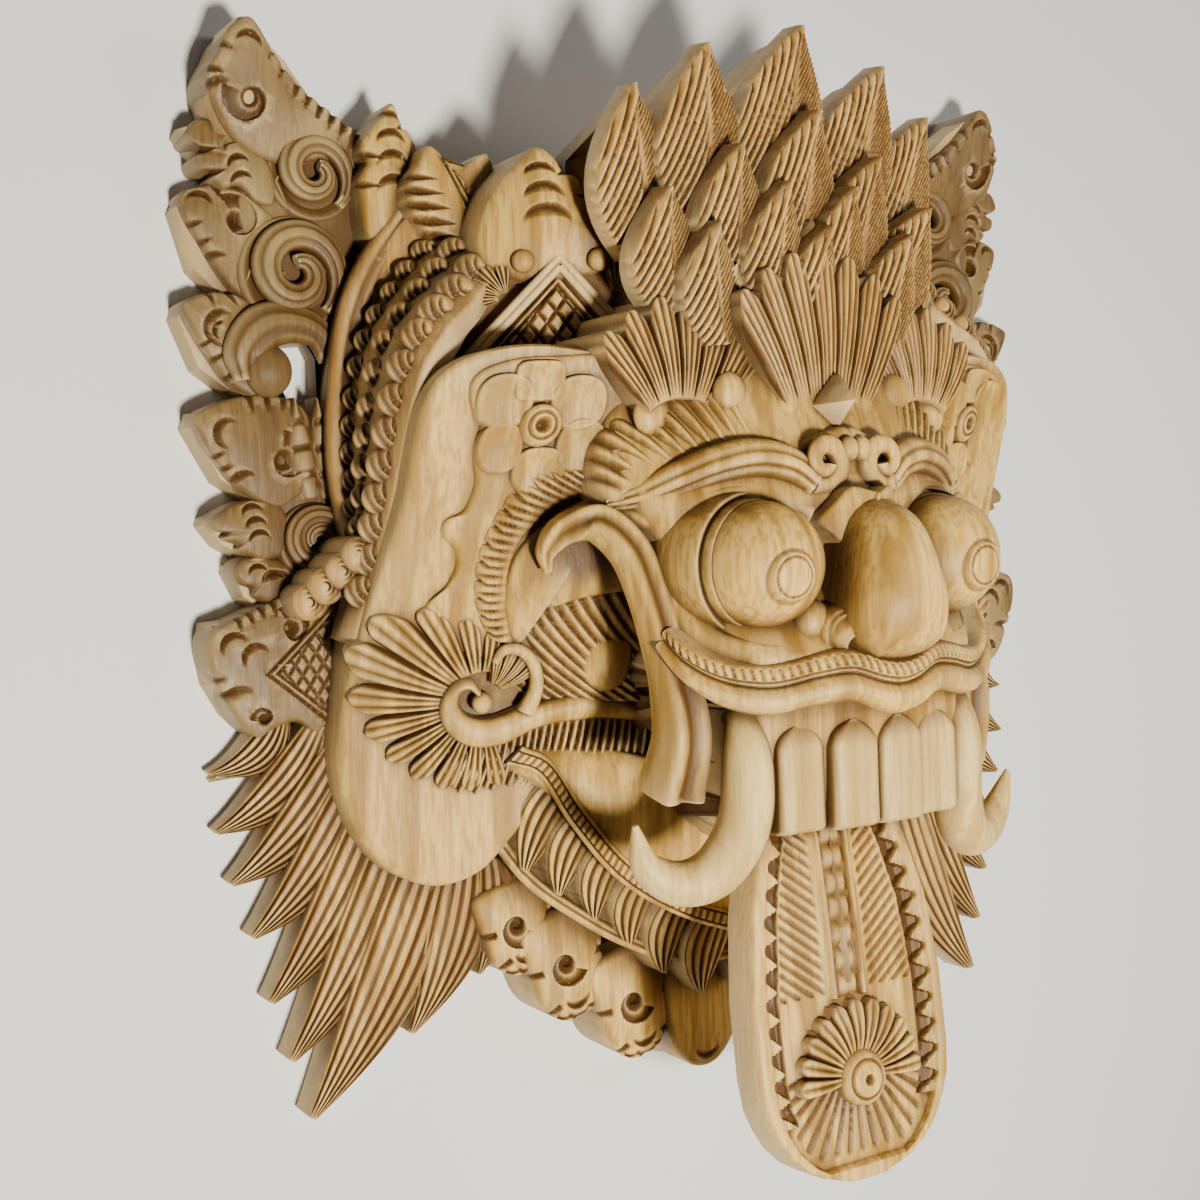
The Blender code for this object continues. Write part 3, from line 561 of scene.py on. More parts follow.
def earTop(a, y):
    rise = y + 32
    return 35 + 0.235 * rise + 0.135 * np.sqrt(rise**2 + 40) + 0.30 * (130 - a)


def faceTop(a, y):
    middle = np.interp(y, [-75, -32, -15, 10, 35, 60, 85, 110], [138, 142, 146, 130, 132, 122, 112, 104])
    return middle - 0.0050 * a**2 - 0.05 * np.abs(a)


def petalTop(a, y):
    return 74 - 0.45 * (a - 60) + 0.02 * (y - 95)


# The core behind the carving is a copy of the solid, drawn in so that the carved pieces cover it
core = {"drawIn": 1.6, "lower": 2.4, "underFace": 7.0, "underEar": 1.5}


def makeCore():
    # Each point moves against its own normal by drawIn, and down by lower where it is not on the back;
    # then no point stands higher than the cap, which lies just under each carved piece.
    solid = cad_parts["mask"]
    mesh = bpy.data.meshes.new_from_object(solid)
    shape = bmesh.new()
    shape.from_mesh(mesh)
    bmesh.ops.remove_doubles(shape, verts=shape.verts, dist=1e-6)
    shape.to_mesh(mesh)
    shape.free()
    count = len(mesh.vertices)
    places, normals = np.empty(count * 3), np.empty(count * 3)
    mesh.vertices.foreach_get("co", places)
    mesh.vertex_normals.foreach_get("vector", normals)
    places, normals = places.reshape(-1, 3), normals.reshape(-1, 3)
    high = np.clip(places[:, 2] / 0.012, 0, 1)
    places -= normals * core["drawIn"] * 0.001 * high[:, None]
    places[:, 2] -= core["lower"] * 0.001 * high
    a, y = np.abs(places[:, 0]) * 1000, places[:, 1] * 1000 + middleY
    cap = np.full(count, 1000.0)
    cap = np.where((a < 82) & (y > -33) & (y < 96), faceTop(a, y) - core["underFace"], cap)
    cap = np.where((a > 58) & (a < 152) & (y > -97) & (y < 90), np.minimum(cap, earTop(a, y) - core["underEar"]),
                   cap)
    cap = np.where((a > 44) & (a < 108) & (y > 88) & (y < 160), np.minimum(cap, petalTop(a, y) - 4), cap)
    rim = np.interp(y, [-94, -88, -78, -65, -50, -32, -11, 9, 27, 42, 55, 67, 77, 83, 86, 100],
                    [106, 120, 130, 136, 139, 138, 135, 131, 127, 124.5, 123, 121.5, 118, 111, 100, 80])
    cap = np.where((a > rim) & (a < 152) & (y > -97) & (y < 100), np.minimum(cap, 20.0), cap)
    cap = np.where((a > 78) & (y < -30) & ((a > rim) | (y < -92)), np.minimum(cap, 4.0), cap)
    cap = np.where((a < 60) & (y > -90) & (y <= -33), np.minimum(cap, np.where(a > 40, 50.0, 112.0)), cap)
    cap = np.where((a > 50) & (a < 82) & (y > -34) & (y < 6), np.minimum(cap, 50.0), cap)
    cap = np.where((a > 40) & (a < 96) & (y >= -100) & (y <= -40), np.minimum(cap, 36.0), cap)
    beard = (a < 96) & (y < -100) & (places[:, 2] < 0.085)
    cap = np.where(beard, np.minimum(cap, np.interp(y, [-190, -125, -105], [12, 16, 34])), cap)
    places[:, 2] = np.minimum(places[:, 2], cap * 0.001)
    mesh.vertices.foreach_set("co", places.ravel())
    mesh.materials.clear()
    mesh.materials.append(coreShadeWood)
    obj = bpy.data.objects.new("core", mesh)
    bpy.context.scene.collection.objects.link(obj)
    mesh.shade_smooth()
    mesh.set_sharp_from_angle(angle=math.radians(30))
    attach(obj, "root")
    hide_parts("mask")
    print("core:", len(mesh.polygons), "faces")


makeCore()

# The wings: scrolled lobes with thumb cuts, nicks along their rims and curls with sunk eyes
wing = {
    "horn": dict(outline=[(161, 199), (167, 196), (171, 189), (175, 180), (173, 171), (168, 163), (160, 157),
                          (148, 154), (136, 156), (124, 158), (118, 163), (128, 170), (138, 176), (147, 183),
                          (154, 191)],
                 centre=(158, 176), top=flatTop(16.5, slopeY=0.24, y0=152),
                 cuts=[crescent(162, 190, 4.2, 100), curl(161, 174, 10, 1.15, 20, -1, 2.6, 0.3),
                       nick(171, 190, 200, 6), nick(174, 182, 190, 6), crescent(171, 173, 6, 60, span=60),
                       nick(153, 190, -60, 5, 1.2), nick(149, 185, -60, 6, 1.2),
                       *[nick(144 - 4.2 * k, 181 - 3.1 * k, -70, 8, 1.6) for k in range(6)]]),
    "upper": dict(outline=[(180, 163), (177, 167), (170, 167), (162, 164), (155, 158), (151, 150), (152, 141),
                           (158, 141), (164, 146), (169, 145), (173, 148), (172, 150), (177, 151), (178, 155),
                           (175, 157), (180, 160)],
                  centre=(163, 155), top=flatTop(16.0),
                  cuts=[crescent(165, 158, 3.6, 70), crescent(164, 152.5, 3.6, 70), crescent(163, 147, 3.6, 70),
                        nick(176, 157, 170, 6, 1.2), nick(173, 149.5, 160, 6, 1.2)]),
    "middle": dict(outline=[(183, 142), (180, 145), (172, 147), (164, 146), (157, 142), (151, 135), (154, 126),
                            (157, 115), (158, 106), (166, 111), (172, 119), (177, 128), (181, 135)],
                   centre=(166, 130), top=flatTop(15.5, slopeA=-0.12, a0=150),
                   cuts=[curl(165, 135, 9.5, 1.2, 60, 1, 2.4, 0.34), crescent(177, 140, 4, 100),
                         nick(180, 133, 160, 5), nick(177, 127, 150, 5), nick(171, 146, 250, 5),
                         crescent(172, 119, 5, 60, span=70)]),
    "hooked": dict(outline=[(185, 106), (181, 109), (174, 111), (165, 110), (158, 105), (156, 97), (160, 86),
                            (161, 77), (166, 78), (171, 82), (176, 89), (181, 97)],
                   centre=(169, 96), top=flatTop(15.0),
                   cuts=[crescent(172, 99, 5.6, 20, span=110), crescent(172, 98, 3.0, 20), nick(176, 111, 250, 6),
                         nick(169, 111, 240, 6), nick(179, 93, 150, 5, 1.2), nick(176, 88, 150, 6),
                         nick(171, 82, 130, 5)]),
    "broad": dict(outline=[(183, 69), (178, 73), (169, 76), (158, 77), (148, 75), (143, 69), (144, 58), (143, 48),
                           (149, 42), (156, 39), (164, 42), (171, 48), (177, 56), (181, 63)],
                  centre=(162, 58), top=flatTop(16.0),
                  cuts=[crescent(172, 64, 4.6, 20, span=110), curl(153, 55, 10, 1.2, 90, 1, 2.6, 0.36),
                        nick(164, 76, 260, 6), nick(158, 76.5, 270, 6), nick(152, 76, 280, 6),
                        nick(177, 56, 150, 5, 1.2), nick(174, 52, 150, 5, 1.2), crescent(167, 46, 5, 60, span=70)]),
    "small": dict(outline=[(179, 35), (176, 38), (170, 41), (162, 42), (155, 40), (151, 32), (153, 24), (161, 21),
                           (167, 23), (170, 25), (170, 27), (175, 29), (174, 31), (178, 32)],
                  centre=(163, 31), top=flatTop(15.5),
                  cuts=[crescent(165, 37, 3.4, 80), crescent(164, 32.5, 3.4, 80), crescent(163, 28, 3.4, 80)]),
    "least": dict(outline=[(172, 18), (169, 22), (163, 23), (155, 21), (150, 16), (154, 10), (160, 7), (165, 9),
                           (166, 12), (170, 14)],
                  centre=(161, 15), top=flatTop(15.0),
                  cuts=[crescent(164, 17, 3.0, 80), crescent(159, 14, 3.6, 80),
                        crescent(157, 12, 5.2, 80, span=60)]),
    "lower": dict(outline=[(181, -1), (176, 1), (166, 5), (154, 10), (144, 14), (136, 18), (132, 10), (136, -10),
                           (140, -30), (146, -38), (154, -34), (162, -36), (167, -38), (173, -33), (178, -24),
                           (182, -14), (183, -6)],
                  centre=(160, -14), top=flatTop(18.0, slopeA=-0.04, a0=160), around=200, rings=48,
                  cuts=[crescent(174, -7, 4.4, 60, span=100), crescent(167, -11, 4.4, 60, span=100),
                        nick(181, -18, 170, 5), nick(179, -23, 160, 5), crescent(173, -28, 7, 60, span=70),
                        curl(154, -2, 8, 1.2, 60, 1, 2.6, 0.36), curl(165, -32, 5, 1.0, 0, 1, 2.0, 0.4),
                        lattice([(163, -17), (138, 6), (138, -38)], 4.2, 1.2),
                        *[nick(172 - 4 * k, 2 + 1.6 * k, 260, 5, 1.3) for k in range(4)]]),
}
volutes = {  # centre, radius, height and turns
    "top": (138, 152, 17, 20, 1.30), "large": (146, 118, 20.5, 20, 1.40), "round": (143, 27, 14, 20, 1.70),
}


def makeWings():
    shells = []
    for lobe in wing.values():
        shells += plate(lobe["outline"], lobe["centre"], lobe["top"], 0.0, carve(*lobe["cuts"]),
                        around=lobe.get("around", 140), rings=lobe.get("rings", 34), edge=2.0, swell=1.5)
    for ca, cy, radius, height, turns in volutes.values():
        def bowl(a, y):
            return -3.4 * np.clip(1.1 - (away(a, y, ca, cy)[0] / (0.86 * radius)) ** 2, 0, 1)
        shells += plate(ring(ca, cy, radius * 0.97), (ca, cy), flatTop(height - 3.4), 4.0, bowl, around=160,
                        rings=40, edge=3, swell=0)
        turn = np.radians(np.linspace(-50, -50 + 360 * turns, 150))
        reach = radius * np.linspace(0.80, 0.16, 150)
        rise = height - 3.6 + 2.4 * np.linspace(0, 1, 150)
        path = np.column_stack([ca - reach * np.cos(turn), cy + reach * np.sin(turn), rise])
        shells += tube(path, [share * radius for share in (0.10, 0.22, 0.26, 0.25, 0.21, 0.17, 0.12)],
                       lambda s, v, r: -0.8 * bell(v, 1.1, 0.2) - 0.8 * bell(v, 2.2, 0.2), 44, 0.85)
    # The hook over the pierced opening, with its ball
    hook = line([(134, 90, 14), (139, 98, 16), (149, 101, 17), (159, 99, 17), (166, 91, 17), (165, 82, 16)], 60)
    shells += tube(hook, [4.5, 5.5, 7, 8, 7, 4], lambda s, v, r: -1.2 * bell(v, 1.2, 0.2) - 1.0 * bell(v, 2.2, 0.2),
                   44, 0.55)
    shells += ball((157, 85, 15), (8.5, 9, 6.5))
    # Plain ground between the lobes and the rib, and the pair of leaves under the opening
    ground = [(134, 20), (134, 60), (133, 70), (140, 70), (150, 72), (154, 60), (156, 40), (154, 22), (146, 14),
              (138, 12)]
    shells += plate(ground, (143, 45), flatTop(13), 0.0, around=90, rings=12)
    ground = [(133, 96), (126, 112), (114, 132), (108, 148), (124, 160), (140, 166), (156, 158), (164, 140),
              (160, 120), (162, 108), (154, 100), (142, 97)]
    shells += plate(ground, (138, 128), flatTop(14), 0.0, around=120, rings=16)
    for k, (a, wide) in enumerate(((148, 5.5), (140, 5.0))):
        shells += blade((a - 4, 42, 14), (a + 1, 76, 16), wide,
                        lambda g: -1.2 * np.abs(vee(g.s / 9, 0.18)) * (np.abs(g.t) < 0.7), ridge=2.4, under=8)
    piece("wings", shells, wingWood)


makeWings()


def leafGrooves(count, depth=0.9, width=0.3, side=None, slant=0.0, pitch=4.0):
    # Grooves along a blade, which close up towards its tip; with a slant they run obliquely instead.
    def relief(g):
        if slant:
            lines = vee((g.s - slant * np.abs(g.t) * g.half) / pitch, width)
            rest = -depth * lines * np.clip((np.abs(g.t) - 0.06) * 12, 0, 1)
        else:
            rest = -depth * vee(g.t * count + 0.5, width) * (np.abs(g.t) < 0.97)
        return rest * np.clip(g.u * 6, 0, 1) * np.clip((1 - g.u) * 12, 0, 1)
    return relief


# The rib and the two rows of scales beside it, and the leaves above the ear
def makeScales():
    shells = plate([(134, 20), (136, 60), (134, 88), (124, 118), (110, 138), (96, 150), (84, 150), (90, 60),
                    (112, 20)],
                   (112, 86), slopeTop, 0.0, around=100, rings=12)
    path = line([(108, 140, 27), (121, 122, 25), (129, 105, 23), (133, 85, 21), (135, 60, 21), (134, 42, 21),
                 (131, 22, 21)], 160)
    shells += tube(path, [4.2, 5, 5, 5, 4.5], lambda s, v, r: -1.3 * bell(v, np.pi / 2, 0.28), flat=1.2)
    low = line([(96, 140, 32), (109, 126, 30), (119, 112, 27), (127, 98, 24), (131, 82, 22), (133, 60, 21),
                (132, 40, 21), (134, 18, 22), (142, -6, 22)], 120)
    high = line([(92, 114, 60), (104, 103, 66), (115, 94, 70), (123.5, 82, 69), (127, 69, 65), (128.5, 56, 60),
                 (130, 42, 54), (133, 22, 47), (140, -8, 38)], 120)
    shells += ribbon(low, high, None, 40, 2.0, 1.0, thick=8)
    slope = high - low
    for share, count, wide, deep in ((0.16, 15, 5.0, 4.0), (0.44, 13, 6.0, 4.6), (0.76, 12, 7.0, 5.0)):
        for k in range(count):
            a, y, z = (low + slope * share)[int(3 + (k + 0.5) / count * 106)]
            cuts = carve(*[crescent(a - 0.30 * wide, y + 0.30 * wide, reach * wide, -40, 1.5, 110)
                           for reach in (0.45, 0.8, 1.15)])
            shells += ball((a, y, z + 0.8), (wide, 0.86 * wide, deep), cuts, 50, 36)
    # Shell lumps with nested cuts climb along the foot of the ear
    for k, (a, y) in enumerate(((151, 7), (146.5, 12), (141.5, 17), (137, 22))):
        z = 31 + 3.5 * k
        cuts = carve(*[crescent(a + 1.5, y, 1.6 + 1.7 * i, 160, 1.1, 110) for i in range(3)])
        shells += plate(ring(a, y, 6.4), (a, y), flatTop(z), 16.0, cuts, 70, 30, 2.4, 2.0)
    piece("scales", shells, tanWood)


makeScales()

leaves = {
    "outerFinial": dict(outline=[(112, 176), (117, 170), (123, 163), (124, 158), (122, 155), (125, 150), (125, 143),
                                 (123, 130), (116, 128), (108, 140), (104, 148), (106, 153), (103, 158), (105, 165),
                                 (109, 170)],
                        centre=(114, 152), z=27,
                        cuts=[crescent(114, 168, 4.5, 90), crescent(114, 161, 5, 90), crescent(114, 153, 5.5, 90),
                              crescent(114, 144, 6, 90), nick(122, 157, 190, 6, 1.6), nick(124, 147, 185, 6, 1.6),
                              nick(105, 153, 0, 6, 1.6), nick(108, 168, -20, 5, 1.4), nick(106, 142, 10, 6, 1.6)]),
    "innerFinial": dict(outline=[(105, 159), (109, 153), (113, 147), (113, 139), (108, 129), (102, 119), (92, 112),
                                 (84, 114), (78, 130), (76, 147), (84, 149), (95, 152)],
                        centre=(96, 137), z=41,
                        cuts=[lattice([(101, 154), (84, 118), (80, 146)], 5.0, 1.6),
                              *[nick(112 - 1.9 * k, 148 - 5.0 * k, 185, 9, 1.9, 3) for k in range(6)],
                              *[nick(100 - 5.0 * k, 154 - 1.2 * k, 265, 5, 1.5) for k in range(4)]]),
}


def makeLeaves():
    shells = []
    for item in leaves.values():
        shells += plate(item["outline"], item["centre"], flatTop(item["z"]), 8.0, carve(*item["cuts"]),
                        around=200, rings=50, edge=2.0, swell=4)
    shells += plate([(106, 146), (100, 154), (84, 150), (64, 146), (60, 120), (88, 98), (96, 112), (102, 130)],
                    (84, 130), lambda a, y: 40 + 0.25 * (100 - a), 8.0, around=90, rings=14)

    # The upper leaf comes to a point; its rim is scalloped on the inner side
    outline = [(80, 154.5), (87, 148), (93, 140), (97, 130), (98, 121), (95, 114), (84, 110), (70, 110), (60, 114),
               (56, 122), (60, 128), (61, 134), (65, 138), (67, 144), (72, 147), (75, 152)]
    tools = carve(crescent(80, 144, 4.6, 90, 2.4, 80), crescent(79.5, 136, 6, 90, 2.4, 80),
                  crescent(79, 127, 7.5, 90, 2.4, 75), nick(59, 129, 20, 7, 1.8, 3), nick(63, 137, 10, 7, 1.8, 3),
                  nick(70, 146.5, -20, 6, 1.6, 3))
    shells += plate(outline, (78, 130), over(petalTop, 3), 40.0, tools, around=240, rings=60, edge=2.4, swell=5)
    # Its foot: a hatched triangle between two double lines, and scalloped leaves that spread at both sides
    shells += plate([(112, 84), (112, 100), (103, 112), (88, 118), (62, 118), (50, 112), (44, 98), (44, 80)],
                    (76, 98), over(petalTop, -2), 40.0, None, around=120, rings=20)
    corners = np.array([(75, 118), (48, 84), (106, 84)], float)
    t = np.linspace(0, 1, 50, endpoint=False)[:, None]
    rim = np.concatenate([corners[k] * (1 - t) + corners[(k + 1) % 3] * t for k in range(3)])
    shells += plate(rim[::6], (75, 94), over(petalTop, 4), 40.0,
                    carve(lattice([(75, 112), (56, 87), (97, 87)], 4.6, 1.8)), around=180, rings=70, edge=0.8,
                    swell=0.5)
    for grow in (1.0, 0.84):
        ends = (corners - [75, 97]) * grow + [75, 97]
        for k in (0, 2):
            a, y = np.linspace(ends[k], ends[(k + 1) % 3], 40).T
            shells += tube(np.column_stack([a, y, petalTop(a, y) + 5.2]), [1.3, 1.3], None, 12)
    for a in (86.5, 63.5):
        shells += ball((a, 116.5, petalTop(a, 117) + 6), (3.8, 3.8, 3.8))
    for a, y, first, last, reach in ((91, 105, -20, 100, 13), (102, 94, -30, 95, 13), (58, 105, 75, 200, 13),
                                     (49, 94, 80, 210, 13)):
        shells += fanLeaf((a, y), reach, first, last, 4, petalTop, 4.6, 0.08, 3, 0.78, 0.2, thick=8, across=30,
                          steps=16, cut=2.4)
    piece("leaves", shells, paleWood)


makeLeaves()

# The long feathers below the ears
feather = {"half": 11.5, "bow": -7, "grooves": 3.0, "depth": 1.5}


def makeLowFeathers():
    # The grooves run along each feather and close up at its tip; each feather lies over the one below it.
    roots = [(158, -30), (144, -36), (136, -44), (130, -52), (122, -58), (114, -66), (104, -74), (94, -80),
             (84, -84)]
    tips = [(181, -50), (180, -70), (176, -88), (170, -107), (165, -130), (159, -151), (153, -172), (115, -149),
            (88, -132)]
    share = [0.66, 0.84, 0.96, 1.02, 1.1, 1.15, 1.25, 1.15, 0.95]
    shells = []
    for k, (root, tip) in enumerate(zip(roots, tips)):
        rise = 6 + 1.2 * k

        def grooves(g):
            lines = vee(g.t * feather["grooves"] + 0.5, 0.26) * (np.abs(g.t) < 0.95)
            return -feather["depth"] * lines * np.clip(g.u * 6, 0, 1) * np.clip((1 - g.u) * 14, 0, 1) + 0.8 * g.t
        shells += blade((*root, rise + 9), (*tip, rise), share[k] * feather["half"], grooves, feather["bow"], 0.14,
                        1.6, 110, 64, 1.0)
    piece("lowFeathers", shells, tanWood)


makeLowFeathers()

# The smooth ear plate, with its flower, leafy arch, fan leaf, curl and band
ear = {"edge": 2.6, "swell": 0.8, "step": 2.6,
       "outline": [(40, 82), (60, 84), (76, 85), (92, 87), (106, 86), (117, 82), (123.5, 76), (127, 67),
                   (128.5, 55), (129.5, 41), (132, 27), (136, 9), (140, -11), (143, -32), (144, -50), (141, -65),
                   (135, -78), (126, -88), (112, -94), (98, -91), (87, -80), (76, -66), (62, -56), (40, -52),
                   (36, -20), (36, 40)]}


def makeEar():
    shells = plate(ear["outline"], (95, -10), earTop, 14.0, None, 260, 60, ear["edge"], ear["swell"])
    # The inner part stands higher, behind a waved step
    inner = [(60, 80), (90, 83), (106, 81), (113.2, 76), (112.8, 68), (109.4, 61.5), (110.2, 51.5), (109, 43.4),
             (111.5, 35.2), (116.6, 32.4), (117.6, 28), (113, 22.3), (112, 16.7), (114.6, 10.2), (120, 4.0),
             (118, -4), (104, -14), (70, -20), (50, 0), (50, 50)]
    shells += plate(inner, (86, 30), over(earTop, ear["step"]), 30.0, None, 300, 34, 2.4, 0.0)
    piece("earPlate", shells, paleWood)

    # The flower: dished petals about a ringed eye, the top one squared
    shells = []
    for a, y, wide, high in ((103.6, 69, 8.8, 8.6), (93.5, 75.0, 7.8, 6.4), (80.5, 68, 9.0, 8.8),
                             (103.5, 54.5, 7.0, 8.2), (78, 54.5, 8.0, 8.6), (90.5, 47.0, 8.6, 7.6)):
        turn = np.linspace(0, 2 * np.pi, 16, endpoint=False)
        power = 0.5 if high == 6.4 else 0.85
        c, w = np.cos(turn), np.sin(turn)
        rim = np.stack([a + wide * np.sign(c) * np.abs(c) ** power, y + high * np.sign(w) * np.abs(w) ** power],
                       axis=1)
        shells += plate(rim, (a, y), over(earTop, 5.2), 30.0, None, 90, 26, 1.4, -1.6)
    eye = carve(ringCut(92, 61.3, 4.2, 0.8, 0.9),
                lambda p, q: -3.0 * np.clip(1.2 - away(p, q, 92, 61.3)[0] / 2.4, 0, 1))
    shells += plate(ring(92, 61.3, 6.8), (92, 61.3), over(earTop, 6.4), 30.0, eye, 70, 34, 2.2, 0.8)
    # The leafy arch between two rims, with short slanted cuts
    outer = line([(74, 49.5), (82.5, 49.5), (94, 46), (101, 35.5), (105.2, 24.5), (106.4, 14.5), (104.6, 3),
                  (100, -7)], 190)
    inside = line([(64, 41), (69.5, 40.5), (83, 35), (92, 26), (95.6, 16), (95.2, 4.4), (93.5, -3), (91, -10)], 190)

    def leafy(g):
        row = 0.5 + 0.5 * np.sin(g.s * 2 * np.pi / 6.2 + 2.2 * g.t)
        cuts = vee(g.s / 3.1 + 0.55 * g.t, 0.30) * np.clip(1.15 - np.abs(g.t), 0, 1)
        bites = vee(g.s / 6.2 + 0.5, 0.16) * np.clip((-g.t - 0.2) * 2.5, 0, 1)
        return 0.7 * row * np.clip(1 - g.t**2, 0, 1) - 1.2 * cuts - 1.8 * bites
    shells += ribbon(onEarLine(outer, 2.6), onEarLine(inside, 4.4), leafy, 44, 1.8, 1.2, thick=6)
    # The fan leaf: long ragged fingers with fine flutes, longest towards the ear's outer edge
    reach = [30, 30, 31, 32, 33.5, 36, 40, 46, 51, 44, 34, 27, 23]
    shells += fanLeaf((99.5, -30.5), reach, -112, 104, 12, earTop, 4.2, 0.03, 3, 0.80, 0.30, thick=6, across=60,
                      steps=18, cut=2.2)
    # A smooth band comes from the mouth, turns round the eye of the curl and ends in a ball
    hook = [(101.5, -26.5), (105, -23.5), (109, -25), (110.5, -31), (107.5, -37), (101, -40.5), (93, -40),
            (84, -36.5), (72, -34.2), (58, -34.2), (44, -37)]
    width = np.array([1.2, 2.4, 3.8, 5.0, 5.2, 4.8, 4.4, 4.6, 4.4, 4.2, 3.6])
    path = line(hook, 170)
    half = spread(width, 170)[:, None]
    ahead = np.gradient(path, axis=0)
    out = np.stack([-ahead[:, 1], ahead[:, 0]], axis=1) / np.linalg.norm(ahead, axis=1)[:, None]
    shells += ribbon(onEarLine(path + out * half, 6.0), onEarLine(path - out * half, 6.0), None, 30, 2.0, 1.8,
                     thick=6)
    shells += ball((99.5, -30, float(earTop(99.5, -30)) + 4.6), (3.8, 3.8, 3.0))
    # The second curl rises beside it, with a little fan inside
    path = line([(85, -34), (82.5, -26), (84, -18), (89, -12.5), (94.5, -12), (97, -16)], 110)
    shells += tube(onEarLine(path, 5.5), [3.6, 2.8, 2.4, 2.2, 2.0, 1.4], None, 24)
    shells += fanLeaf((97, -27), [15, 16, 15], 85, 160, 4, earTop, 4.8, 0.0, 3, 0.85, 0.2, thick=6, across=30,
                      steps=14, cut=1.2)
    # The fringe under the band, with its short strokes
    top = line([(110, -46), (100, -46.5), (90, -43), (78, -38.5), (66, -37.5), (54, -38), (42, -40)], 170)
    low = line([(113, -55), (104, -60), (94, -59.5), (82, -56.5), (72, -53), (62, -54.5), (52, -56), (42, -56)],
               170)
    low = low - np.stack([0 * low[:, 0], 2.2 * np.abs(np.sin(np.linspace(0, 13 * np.pi, 170)))], axis=1)

    def fringe(g):
        fine = 1.9 * vee(g.u * 26 + 0.3 * g.t, 0.34) * np.clip((g.t + 1) * 3, 0, 1)
        return -fine - 0.8 * vee(g.u * 13, 0.12)
    shells += ribbon(onEarLine(top, 3.6), onEarLine(low, 1.8), fringe, 30, 1.4, 1.0, thick=6)
    piece("earCarving", shells, paleWood)


def onEarLine(path, lift):
    return np.column_stack([path, earTop(path[:, 0], path[:, 1]) + lift])


makeEar()

# The crown's feathers in three rows, and the three fans at their foot
crown = {"depth": 1.6, "pitch": 4.4, "steep": 1.7}


def makeCrown():
    block = full([(0, 158), (26, 156), (44, 148), (52, 134), (54, 112), (56, 90), (56, 72), (30, 68), (0, 68)])
    shells = plate(block, (0, 112), lambda a, y: 101 - 0.12 * (y - 70) - 0.16 * np.abs(a), 30.0, None, 200, 20, 4,
                   1, False)
    rows = [
        [((0, 134, 97), (2, 194, 104), 19), ((29, 126, 95), (37, 184, 104), 18),
         ((50, 116, 91), (62, 170, 98), 16)],
        [((0, 112, 104), (2, 164, 112), 16), ((24, 104, 103), (29, 151, 110), 15),
         ((46, 96, 99), (55, 136, 106), 14)],
        [((13, 94, 108), (14, 139, 115), 12.5), ((35, 86, 107), (41, 125, 112), 12),
         ((0, 88, 111), (1, 125, 117), 11)],
    ]

    def strokes(g):
        # The same slanting strokes on every feather: deep ones on its left flank, finer ones on its right.
        way = g.y - crown["steep"] * g.a
        left = vee((way - 0.006 * g.s**2) / crown["pitch"], 0.30) * np.clip((g.t + 0.12) * 8, 0, 1)
        right = 0.6 * vee(way / (0.62 * crown["pitch"]), 0.4) * np.clip((-g.t - 0.12) * 8, 0, 1)
        step = 1.8 * np.clip(g.t + 0.1, 0, 0.2) * 5
        return (step - crown["depth"] * (left + right)) * np.clip((1 - g.u) * 10, 0, 1)
    for row in rows:
        for root, tip, half in row:
            for side in (1, -1) if root[0] > 5 else (1,):
                start, end = (side * root[0], *root[1:]), (side * tip[0] + 2, *tip[1:])
                shells += blade(start, end, half, strokes, 3.0, 0.08, 3.0, 130, 70, thick=7, both=False)
    piece("crownFeathers", shells, tanWood)
    shells = fanLeaf((0, 34), [74, 80, 84, 80, 74], 60, 120, 7, flatTop(119), 0, 0.02, 4, 0.84, 0.42, 60.0,
                     across=60, steps=24, both=False, cut=2.2)
    shells += fanLeaf((51, 50), [46, 50, 53, 52, 48], 50, 142, 7, lambda a, y: 108 - 0.12 * (a - 50), 0, 0.03, 4,
                      0.80, 0.36, 50.0, across=56, steps=24, cut=2.2)
    piece("crownFans", shells, tanWood)


makeCrown()

# The face: head, nose, eyes, brows, lips and cheeks
face = {"eye": 20.2, "eyeAt": (37.6, 14.0, 128.0), "pupil": 8.0, "pupilAt": (39.6, 10.2)}


